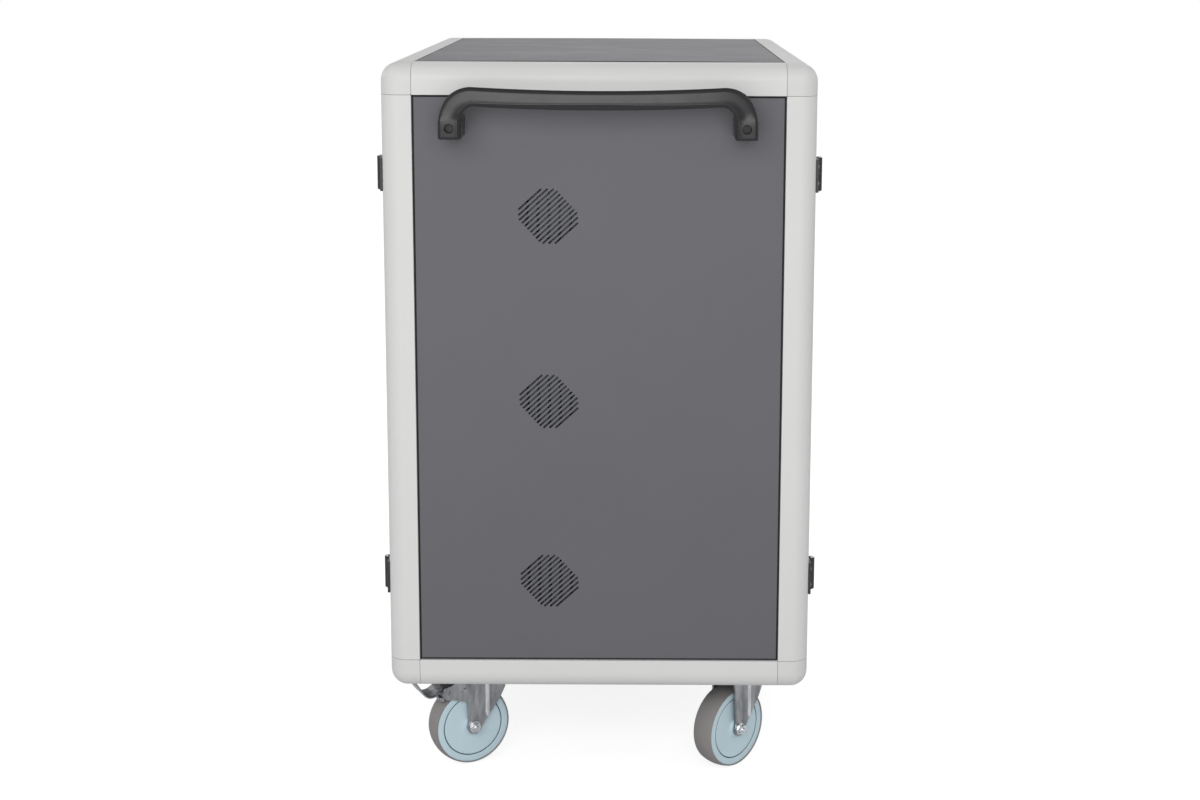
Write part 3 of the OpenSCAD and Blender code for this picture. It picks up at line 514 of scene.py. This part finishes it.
def handle_section(outer, inner, foot, inset):
    """One closed section of the handle: rounded outer edge, crease near the inner edge, rounded back."""
    ox, oz = outer
    ix, iz = inner
    width = math.hypot(ix - ox, iz - oz)
    mid_x = (ox + ix) / 2
    middle = 1 - min(1.0, abs(mid_x) / CREASE_SPAN)
    crease = CREASE_IN + CREASE_MORE * middle * (1 - foot)
    ridge = width - crease
    drop = DROP + DROP_MORE * middle
    back_r = BACK_R - BACK_LESS * foot
    deep = BAR_T + (FRONT_Y + PANEL_RECESS - handle_front(mid_x) - BAR_T) * foot
    points = arc(FRONT_R, FRONT_R, FRONT_R, 180, 270, 7)
    points += [(width * 0.3, -0.05), (width * 0.5, -0.05)]
    points += [(ridge - 1.3, 0.1), (ridge - 0.5, -0.25), (ridge + 0.2, -0.2), (ridge + 0.9, 0.5)]
    points += [(width - crease * 0.45, drop * 0.55 + 0.1)]
    points += arc(width - INNER_R, drop + INNER_R, INNER_R, 290, 360, 5)
    points += [(width, deep * 0.5)]
    points += arc(width - back_r, deep - back_r, back_r, 0, 90, 5)
    points += arc(back_r, deep - back_r, back_r, 90, 180, 5)
    points += [(0.0, deep * 0.5)]
    verts = []
    for u, v in points:
        if inset:
            u = min(max(u, inset), width - inset)
            v = max(v, inset)
        x, z = ox + (ix - ox) * u / width, oz + (iz - oz) * u / width
        y = handle_front(mid_x * foot + x * (1 - foot)) + v
        if v < deep * 0.5:
            y += lean(z)
        verts.append(Vector((x, y, z)) * MM)
    return verts


def handle_grip():
    left = [handle_section(*row) for row in handle_stations()]
    right = [[Vector((-v.x, v.y, v.z)) for v in section] for section in left[-2::-1]]
    return skinned(left + right)


handle = new_piece("push_handle_grip", *handle_grip(), "cart", "handle_plastic")
WELL = [(0.0, -WELL_DEPTH), (WELL_R, -WELL_DEPTH), (WELL_R, WELL_OUT), (0.0, WELL_OUT)]
shape_with(handle, [revolved(WELL, WELL_STEPS, aimed((x, handle_front(x), FOOT_Z), (0, -1, 0)))
                    for x in (-FOOT_X, FOOT_X)])
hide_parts("push_handle")


# Wheels: profiles of (radius, height) from the middle plane

RIM_FACE = [
    (6.55, 20.6), (14.2, 20.6), (15.0, 19.8), (15.0, 17.6), (15.5, 16.8), (16.6, 16.5), (30.0, 16.35),
    (44.0, 16.35), (46.0, 16.4), (46.5, 16.2), (46.6, 15.0), (48.2, 15.0), (48.3, 16.6), (48.8, 16.95),
    (49.6, 17.0), (56.6, 17.0), (57.7, 16.75), (58.3, 16.2), (58.5, 15.4),
]
RIM = RIM_FACE + [(r, -h) for r, h in reversed(RIM_FACE)]
RIM_STEPS, TYRE_STEPS = 128, 144
GROOVE_IN, GROOVE_OUT, GROOVE_LOW, GROOVE_TOP = 46.62, 48.18, 15.02, 15.9
TYRE_SIDE = [(58.5, 16.2), (58.5, 17.2), (58.9, 17.7), (59.6, 17.9)]
TREAD_LEVELS = (17.55, 16.9, 16.1, 15.1, 14.0, 12.4, 10.0, 7.5, 5.0, 2.6, 1.0, 0.45)
TREAD_CROWN_R, SHOULDER_R, SHOULDER_FROM, SEAM_DEPTH = 60.0, 5.0, 13.0, 0.12


def tyre_profile():
    """Closed ring section: flat sides, rounded shoulders, crowned tread with a faint middle seam."""
    half = []
    for level in TREAD_LEVELS:
        crown = WHEEL_R - TREAD_CROWN_R + math.sqrt(TREAD_CROWN_R ** 2 - level * level)
        past = max(0.0, level - SHOULDER_FROM)
        shoulder = WHEEL_R - SHOULDER_R + math.sqrt(SHOULDER_R ** 2 - past ** 2)
        half.append((min(crown, shoulder), level))
    upper = TYRE_SIDE + half + [(WHEEL_R - SEAM_DEPTH, 0.0)]
    return upper + [(r, -h) for r, h in reversed(upper[:-1])]


# Ring of dark stuff set in the rim's groove: painted shade in the recess
def groove_ring(side):
    return [(GROOVE_IN, side * GROOVE_LOW), (GROOVE_OUT, side * GROOVE_LOW),
            (GROOVE_OUT, side * GROOVE_TOP), (GROOVE_IN, side * GROOVE_TOP)]


for castor in CASTORS:
    hub = at_castor(castor, -TRAIL, WHEEL_R) @ Matrix.Rotation(math.radians(90), 4, "X")
    wheel = castor + "_wheel"
    verts, faces = revolved(RIM, RIM_STEPS, hub, closed=True)
    new_piece(wheel + "_rim", verts, faces, wheel, "rim_plastic", [castor + "_rim"])
    rings = [revolved(groove_ring(side), RIM_STEPS, hub, closed=True) for side in (-1, 1)]
    # The groove's ring takes the dark blue of painted shade
    new_piece(wheel + "_groove", *joined(rings), wheel, "rim_plastic", finish="groove_painted_shade")
    verts, faces = revolved(tyre_profile(), TYRE_STEPS, hub, closed=True)
    new_piece(wheel + "_tyre", verts, faces, wheel, "tyre_rubber", [castor + "_tyre"], angle=TYRE_SHARP)


# Ribs of the fork legs, in brighter zinc: a painted highlight along each rib

RIB_X, RIB_Y, RIB_R, RIB_FLAT = -TRAIL + 22.0, 20.5, 5.15, 23.9
RIB_LEVELS = ((75.0, 0.2), (78.0, 0.7), (83.0, 1.0), (144.8, 1.0))


def fork_rib(place, side):
    """Skin of the rib on one leg, which runs out towards the axle."""
    start = math.degrees(math.asin((RIB_FLAT - RIB_Y) / RIB_R))
    outline = arc(0.0, RIB_Y - RIB_FLAT, RIB_R, start, 180 - start, 9)
    return skinned([[place @ (Vector((RIB_X + u * share, side * (RIB_FLAT + w * share), z)) * MM)
                     for u, w in outline] for z, share in RIB_LEVELS])


for castor in CASTORS:
    ribs = [fork_rib(at_castor(castor), side) for side in (-1, 1)]
    new_piece(castor + "_fork_ribs", *joined(ribs), castor + "_swivel", "castor_zinc", finish="bright_zinc_and_highlight")


# Brake pedals: a bent sheet with a hub tube and a brake shoe

PEDAL_X, PEDAL_Z = -TRAIL - 40.5, WHEEL_R + 60.5
PEDAL_T, PEDAL_HALF, PEDAL_CHAMFER = 3.0, 18.0, 0.8
PEDAL_PATH = [(-12, 6.2), (-6, 6.2), (0, 6), (6, 4.8), (12, 2.4), (17, -0.5), (21, -2.6), (25, -3.7),
              (29, -3.7), (33, -2.4), (37, 0.6), (41, 5.4), (45, 11.2), (49, 17.4), (53, 22.6), (58, 26)]
PATH_STEPS = 4
HUB_R, HUB_BORE, HUB_HALF, HUB_EDGE = 6.0, 3.2, 20.6, 0.6
SHOE_AT, SHOE_R, SHOE_HALF, SHOE_EDGE = (9.0, -11.5), 4.0, 16.0, 1.0
WEB_PATH = [(0.5, -0.6), (3, -3.8), (6, -7.7), SHOE_AT]
WEB_HALF = SHOE_HALF - 1.0
ROD_STEPS = 40


def curve(path):
    """Smooth path through the points of a coarse one."""
    ends = [path[0], *path, path[-1]]
    points = []
    for four in zip(ends, ends[1:], ends[2:], ends[3:]):
        for i in range(PATH_STEPS):
            t = i / PATH_STEPS
            points.append(tuple(0.5 * (2 * b + (c - a) * t + (2 * a - 5 * b + 4 * c - d) * t * t
                                       + (3 * b - a - 3 * c + d) * t ** 3) for a, b, c, d in zip(*four)))
    return points + [path[-1]]


def swept_sheet(path, half, place):
    """Sheet with chamfered edges that follows a path of (across, up) points, half to both sides."""
    points = curve(path)
    h, chamfer = PEDAL_T / 2, PEDAL_CHAMFER
    ring = [(-h, -half + chamfer), (-h + chamfer, -half), (h - chamfer, -half), (h, -half + chamfer)]
    ring += [(n, -y) for n, y in reversed(ring)]
    sections = []
    for i, (u, w) in enumerate(points):
        after, before = points[min(i + 1, len(points) - 1)], points[max(i - 1, 0)]
        du, dw = after[0] - before[0], after[1] - before[1]
        size = math.hypot(du, dw)
        sections.append([place @ (Vector((-u + n * dw / size, y, w + n * du / size)) * MM) for n, y in ring])
    return skinned(sections)


def rod(place, at, r, half, edge):
    """Round bar along the pedal's hinge axis, with chamfered ends."""
    profile = [(0.0, -half), (r - edge, -half), (r, -half + edge),
               (r, half - edge), (r - edge, half), (0.0, half)]
    return revolved(profile, ROD_STEPS, place @ Matrix.Translation(Vector((-at[0], 0, at[1])) * MM)
                    @ Matrix.Rotation(math.radians(90), 4, "X"))


for castor in BRAKED:
    pivot = at_castor(castor, PEDAL_X, PEDAL_Z)
    pedal = new_piece(castor + "_pedal_sheet", *swept_sheet(PEDAL_PATH, PEDAL_HALF, pivot),
                      castor + "_brake", "castor_zinc", [castor + "_pedal"])
    shape_with(pedal, [rod(pivot, (0, 0), HUB_R, HUB_HALF, HUB_EDGE)], "UNION")
    shape_with(pedal, [swept_sheet(WEB_PATH, WEB_HALF, pivot)], "UNION")
    shape_with(pedal, [rod(pivot, SHOE_AT, SHOE_R, SHOE_HALF, SHOE_EDGE)], "UNION")
    shape_with(pedal, [rod(pivot, (0, 0), HUB_BORE, HUB_HALF + 1.0, 0.0)])


# Dark joints between the corner caps and the profiles

SEAM_T, SEAM_INSET, SEAM_INNER = 1.1, 0.35, POST - 0.3


def seam_plate(corner, inward, axis):
    """Thin plate in a profile's outline where it meets the corner cap."""
    outline = arc(CORNER_R, CORNER_R, CORNER_R - SEAM_INSET, 180, 270, 9)
    outline += [(SEAM_INNER, SEAM_INSET), (SEAM_INNER, SEAM_INNER), (SEAM_INSET, SEAM_INNER)]
    first, second = [k for k in range(3) if k != axis]
    sections = []
    for level in (POST - SEAM_T / 2, POST + SEAM_T / 2):
        section = []
        for a, b in outline:
            point = list(corner)
            point[first] += inward[first] * a
            point[second] += inward[second] * b
            point[axis] += inward[axis] * level
            section.append(Vector(point) * MM)
        sections.append(section)
    return skinned(sections)


plates = [seam_plate((x, y, z), (in_x, in_y, in_z), axis)
          for x, in_x in ((-SIDE_X, 1), (SIDE_X, -1))
          for y, in_y in ((FRONT_Y, 1), (REAR_Y, -1))
          for z, in_z in ((BODY_LOW, 1), (BODY_TOP, -1))
          for axis in range(3)]
new_piece("corner_seam_plates", *joined(plates), "cart", "seal_rubber")


# Crowned top panel: a pan of thin sheet, and the bead of its seal

TOP_GAP, TOP_SHEET, TOP_SKIRT, TOP_EDGE = 1.6, 1.2, 20.0, 0.8
TOP_LOW_EDGE, TOP_CROWN = 0.2, 1.0
TOP_HALF_X = SIDE_X - POST - TOP_GAP
TOP_HALF_Y = (REAR_Y - FRONT_Y) / 2 - POST - TOP_GAP
TOP_MID_Y = (FRONT_Y + REAR_Y) / 2
TOP_SKIRT_Z = BODY_TOP + TOP_LOW_EDGE + TOP_CROWN - TOP_SKIRT
TOP_EDGE_SHARES = (0.0, 0.1, 0.3, 0.6, 1.0)
TOP_CELLS_X, TOP_CELLS_Y = 16, 4
BEAD_SLACK, BEAD_LOW, BEAD_UNDER, BEAD_STEPS = 0.05, BODY_TOP - 1.0, 0.15, 16


def crown_z(x):
    """Height of the top panel's face, which is highest along its middle."""
    return BODY_TOP + TOP_LOW_EDGE + TOP_CROWN * max(0.0, 1 - (x / TOP_HALF_X) ** 2)


def edge_lines(half, cells):
    """Places of the grid lines across the panel, close together along its rounded edges."""
    near = [-half + TOP_EDGE * share for share in TOP_EDGE_SHARES]
    flat = half - TOP_EDGE
    middle = [-flat + 2 * flat * i / cells for i in range(1, cells)]
    return near + middle + [-v for v in reversed(near)]


def edge_drop(x, y):
    """How far the rounded edge lies under the face."""
    inside = min(TOP_HALF_X - abs(x), TOP_HALF_Y - abs(y), TOP_EDGE)
    return TOP_EDGE - math.sqrt(max(0.0, TOP_EDGE ** 2 - (TOP_EDGE - inside) ** 2))


def crowned_pan():
    """Thin sheet with a crowned face, rounded edges and a skirt."""
    xs, ys = edge_lines(TOP_HALF_X, TOP_CELLS_X), edge_lines(TOP_HALF_Y, TOP_CELLS_Y)
    nx, ny = len(xs), len(ys)
    shrink_x, shrink_y = (TOP_HALF_X - TOP_SHEET) / TOP_HALF_X, (TOP_HALF_Y - TOP_SHEET) / TOP_HALF_Y
    outer = [(x, y, crown_z(x) - edge_drop(x, y)) for y in ys for x in xs]
    inner = [(x * shrink_x, y * shrink_y, crown_z(x) - TOP_SHEET) for y in ys for x in xs]
    ring = list(range(nx)) + [j * nx + nx - 1 for j in range(1, ny)]
    ring += [(ny - 1) * nx + i for i in range(nx - 2, -1, -1)] + [j * nx for j in range(ny - 2, 0, -1)]
    outer_foot = [(*outer[k][:2], TOP_SKIRT_Z) for k in ring]
    inner_foot = [(*inner[k][:2], TOP_SKIRT_Z) for k in ring]
    verts = [Vector((x, TOP_MID_Y + y, z)) * MM for x, y, z in outer + inner + outer_foot + inner_foot]
    size, count = nx * ny, len(ring)
    faces = []
    for j in range(ny - 1):
        for i in range(nx - 1):
            quad = (j * nx + i, j * nx + i + 1, (j + 1) * nx + i + 1, (j + 1) * nx + i)
            faces += [quad, tuple(size + k for k in reversed(quad))]
    for k in range(count):
        m = (k + 1) % count
        foot, foot_m = 2 * size + k, 2 * size + m
        inner_k, inner_m = foot + count, foot_m + count
        faces += [(ring[m], ring[k], foot, foot_m), (foot_m, foot, inner_k, inner_m),
                  (inner_m, inner_k, size + ring[k], size + ring[m])]
    return verts, faces


def seal_bead():
    """Ring that fills the gap round the top panel and follows its crown."""
    loops = []
    for out in (TOP_GAP - BEAD_SLACK, BEAD_SLACK):
        half_x, half_y = TOP_HALF_X + out, TOP_HALF_Y + out
        row = [-half_x + 2 * half_x * i / BEAD_STEPS for i in range(BEAD_STEPS + 1)]
        outline = [(x, -half_y) for x in row] + [(x, half_y) for x in reversed(row)]
        loops.append([(x, y, BEAD_LOW) for x, y in outline])
        loops.append([(x, y, crown_z(x) - BEAD_UNDER) for x, y in outline])
    verts = [Vector((x, TOP_MID_Y + y, z)) * MM for loop in loops for x, y, z in loop]
    n = len(loops[0])
    faces = []
    for k in range(n):
        m = (k + 1) % n
        faces += [(k, m, n + m, n + k), (2 * n + m, 2 * n + k, 3 * n + k, 3 * n + m),
                  (n + k, n + m, 3 * n + m, 3 * n + k), (m, k, 2 * n + k, 2 * n + m)]
    return verts, faces


new_piece("top_panel_crowned", *crowned_pan(), "cart", "panel_sheet", ["top_panel"])
new_piece("top_seal_bead", *seal_bead(), "cart", "seal_rubber")


# Hinge pins and screws

HINGE_X, HINGE_Y, HINGE_H = SIDE_X + 6.0, FRONT_Y + POST + 5.0, 48.0
HINGE_LOWS = (302.0, 901.0)
PIN_HEAD = [(0.0, -1.7), (1.6, -1.6), (3.0, -1.2), (3.9, -0.5), (4.1, 0.0), (2.48, 0.05)]
PIN = PIN_HEAD + [(r, HINGE_H - h) for r, h in reversed(PIN_HEAD)]
PIN_STEPS, SCREW_STEPS, SCREW_SUNK = 32, 24, 0.6
LEAF_SCREW_R, LEAF_SCREW_LEVEL = 3.4, 12.0
LEAF_SCREWS = (
    ("cart", (-1, 1), -19.0, 3.5),
    ("left_door", (-1,), 17.0, 2.0),
    ("right_door", (1,), 17.0, 2.0),
)

pins = [revolved(PIN, PIN_STEPS, aimed((side * HINGE_X, HINGE_Y, low), (0, 0, 1)))
        for side in (-1, 1) for low in HINGE_LOWS]
new_piece("hinge_pins_headed", *joined(pins), "cart", "pin_steel", ["hinge_pins"])


def screw(at, normal, r, rise=1.2):
    """Low-domed screw head with a hexagonal socket, sunk a little into its seat."""
    place = aimed(at, normal)
    dome = [(r, -SCREW_SUNK), (r, rise * 0.25), (r * 0.93, rise * 0.62), (r * 0.78, rise * 0.9),
            (r * 0.60, rise)]
    socket = [(r * 0.50, rise), (r * 0.50, rise - r * 0.45)]
    sections = []
    for rings, hexagonal in ((dome, False), (socket, True)):
        for radius, h in rings:
            section = []
            for i in range(SCREW_STEPS):
                t = 2 * math.pi * i / SCREW_STEPS
                reach = radius
                if hexagonal:
                    reach = radius * math.cos(math.pi / 6) / math.cos((t % (math.pi / 3)) - math.pi / 6)
                section.append(place @ (Vector((reach * math.cos(t), reach * math.sin(t), h)) * MM))
            sections.append(section)
    return skinned(sections)


for body, sides, offset, out in LEAF_SCREWS:
    heads = [screw((side * (SIDE_X + out), HINGE_Y + offset, z), (side, 0, 0), LEAF_SCREW_R)
             for side in sides for low in HINGE_LOWS
             for z in (low + LEAF_SCREW_LEVEL, low + HINGE_H - LEAF_SCREW_LEVEL)]
    new_piece(body + "_hinge_screws", *joined(heads), body, "screw_black", finish="pin_steel")


# Key plugs of the locks, and screws of the mains inlet

LOCK_Y, LOCK_Z = REAR_Y - POST - 43.0, 622.5
LOCK_HOUSING_T, LEVER_GAP, LEVER_T = 8.0, 0.3, 13.0
LEVER_FACE = SIDE_X - PANEL_RECESS + LOCK_HOUSING_T + LEVER_GAP + LEVER_T
PLUG_SUNK, PLUG_STEPS = 3.0, 40
PLUG = [(0.0, 0.0), (5.9, 0.0), (5.9, 2.2), (5.5, 2.6), (0.0, 2.6)]
KEYWAY_DEPTH, KEYWAY_OUT, KEYWAY_HALF_W, KEYWAY_HALF_H = 1.6, 2.0, 0.5, 3.6
INLET_X, INLET_Y, INLET_Z = 195.0, REAR_Y - PANEL_RECESS + 2.5, 275.0
INLET_SCREW_X, INLET_SCREW_R, INLET_SCREW_RISE = 27.0, 2.4, 0.9

for side, name in ((-1, "left"), (1, "right")):
    place = aimed((side * (LEVER_FACE - PLUG_SUNK), LOCK_Y, LOCK_Z), (side, 0, 0))
    plug = new_piece(name + "_lock_key_plug", *revolved(PLUG, PLUG_STEPS, place),
                     name + "_latch", "pin_steel")
    low_x, high_x = sorted((side * (LEVER_FACE - KEYWAY_DEPTH), side * (LEVER_FACE + KEYWAY_OUT)))
    shape_with(plug, [box((low_x, LOCK_Y - KEYWAY_HALF_W, LOCK_Z - KEYWAY_HALF_H),
                          (high_x, LOCK_Y + KEYWAY_HALF_W, LOCK_Z + KEYWAY_HALF_H))])

heads = [screw((INLET_X + dx, INLET_Y, INLET_Z), (0, 1, 0), INLET_SCREW_R, INLET_SCREW_RISE)
         for dx in (-INLET_SCREW_X, INLET_SCREW_X)]
new_piece("inlet_screws", *joined(heads), "cart", "screw_black", finish="pin_steel")


# Studio: floor, world, lights and camera, in metres

FLOOR_R, FLOOR_STEPS = 14, 64
FLOOR_PLAIN, FLOOR_MIRRORED, FLOOR_SEEN = (0.72, 0.0), (0.70, 0.20), (0.46, 0.82)
WORLD_PLAIN, WORLD_MIRRORED, WORLD_SEEN = 0.50, 0.7, 1.0


def floor_shader(tree, grey, glow):
    """A matt grey with some white light of its own."""
    matt = tree.nodes.new("ShaderNodeBsdfDiffuse")
    matt.inputs["Color"].default_value = (grey, grey, grey, 1)
    light = tree.nodes.new("ShaderNodeEmission")
    light.inputs["Strength"].default_value = glow
    both = tree.nodes.new("ShaderNodeAddShader")
    tree.links.new(matt.outputs["BSDF"], both.inputs[0])
    tree.links.new(light.outputs["Emission"], both.inputs[1])
    return both.outputs["Shader"]


def world_shader(tree, strength):
    white = tree.nodes.new("ShaderNodeBackground")
    white.inputs["Color"].default_value = (1, 1, 1, 1)
    white.inputs["Strength"].default_value = strength
    return white.outputs["Background"]


def by_ray(tree, kind, plain, mirrored, seen):
    """Output that shows one shader to the camera, one to mirrored rays and one to all others."""
    path = tree.nodes.new("ShaderNodeLightPath")
    either = tree.nodes.new("ShaderNodeMath")
    either.operation = "MAXIMUM"
    tree.links.new(path.outputs["Is Glossy Ray"], either.inputs[0])
    tree.links.new(path.outputs["Is Transmission Ray"], either.inputs[1])
    shader = plain
    for ray, other in ((either.outputs["Value"], mirrored), (path.outputs["Is Camera Ray"], seen)):
        mix = tree.nodes.new("ShaderNodeMixShader")
        tree.links.new(ray, mix.inputs[0])
        tree.links.new(shader, mix.inputs[1])
        tree.links.new(other, mix.inputs[2])
        shader = mix.outputs["Shader"]
    tree.links.new(shader, tree.nodes.new(kind).inputs["Surface"])


ground = bpy.data.materials.new("studio_floor")
ground.use_nodes = True
tree = ground.node_tree
tree.nodes.clear()
by_ray(tree, "ShaderNodeOutputMaterial",
       *(floor_shader(tree, *look) for look in (FLOOR_PLAIN, FLOOR_MIRRORED, FLOOR_SEEN)))
turns = [2 * math.pi * i / FLOOR_STEPS for i in range(FLOOR_STEPS)]
disc = bpy.data.meshes.new("studio_floor")
disc.from_pydata([(FLOOR_R * math.cos(turn), FLOOR_R * math.sin(turn), 0) for turn in turns], [],
                 [tuple(range(FLOOR_STEPS))])
disc.materials.append(ground)
floor = bpy.data.objects.new("studio_floor", disc)
bpy.context.scene.collection.objects.link(floor)

world = bpy.data.worlds.new("studio")
bpy.context.scene.world = world
world.use_nodes = True
tree = world.node_tree
tree.nodes.clear()
by_ray(tree, "ShaderNodeOutputWorld",
       *(world_shader(tree, strength) for strength in (WORLD_PLAIN, WORLD_MIRRORED, WORLD_SEEN)))


def softbox(name, at, target, size, watts):
    light = bpy.data.lights.new(name, "AREA")
    light.shape, light.size, light.size_y = "RECTANGLE", size[0], size[1]
    light.energy = watts
    obj = bpy.data.objects.new(name, light)
    obj.location = at
    obj.rotation_euler = (Vector(target) - Vector(at)).to_track_quat("-Z", "Y").to_euler()
    obj.visible_camera = False
    bpy.context.scene.collection.objects.link(obj)


softbox("front_box", at=(-0.3, -3.3, 1.95), target=(0, 0, 0.9), size=(3.0, 1.3), watts=43)
softbox("low_box", at=(-0.2, -3.4, 0.5), target=(0, 0, 0.35), size=(3.0, 0.7), watts=11)
softbox("left_box", at=(-3.2, 1.4, 1.9), target=(0, 0, 0.6), size=(1.8, 1.6), watts=13)
softbox("right_box", at=(3.2, 1.4, 1.9), target=(0, 0, 0.6), size=(1.8, 1.6), watts=13)
softbox("back_box", at=(0.6, 3.4, 3.2), target=(0, 0, 0.6), size=(2.6, 1.2), watts=12)

optics = bpy.data.cameras.new("camera")
optics.lens, optics.sensor_width = CAMERA_LENS, CAMERA_SENSOR
optics.shift_x, optics.shift_y = CAMERA_SHIFT
optics.clip_start, optics.clip_end = CAMERA_CLIP
camera = bpy.data.objects.new("camera", optics)
camera.matrix_world = (Matrix.Translation(CAMERA_AT) @ Matrix.Rotation(math.radians(CAMERA_YAW), 4, "Z")
                       @ Matrix.Rotation(math.radians(90 - CAMERA_PITCH), 4, "X")
                       @ Matrix.Rotation(math.radians(CAMERA_ROLL), 4, "Z"))
bpy.context.scene.collection.objects.link(camera)
bpy.context.scene.camera = camera
bpy.context.scene.view_settings.view_transform = "Standard"
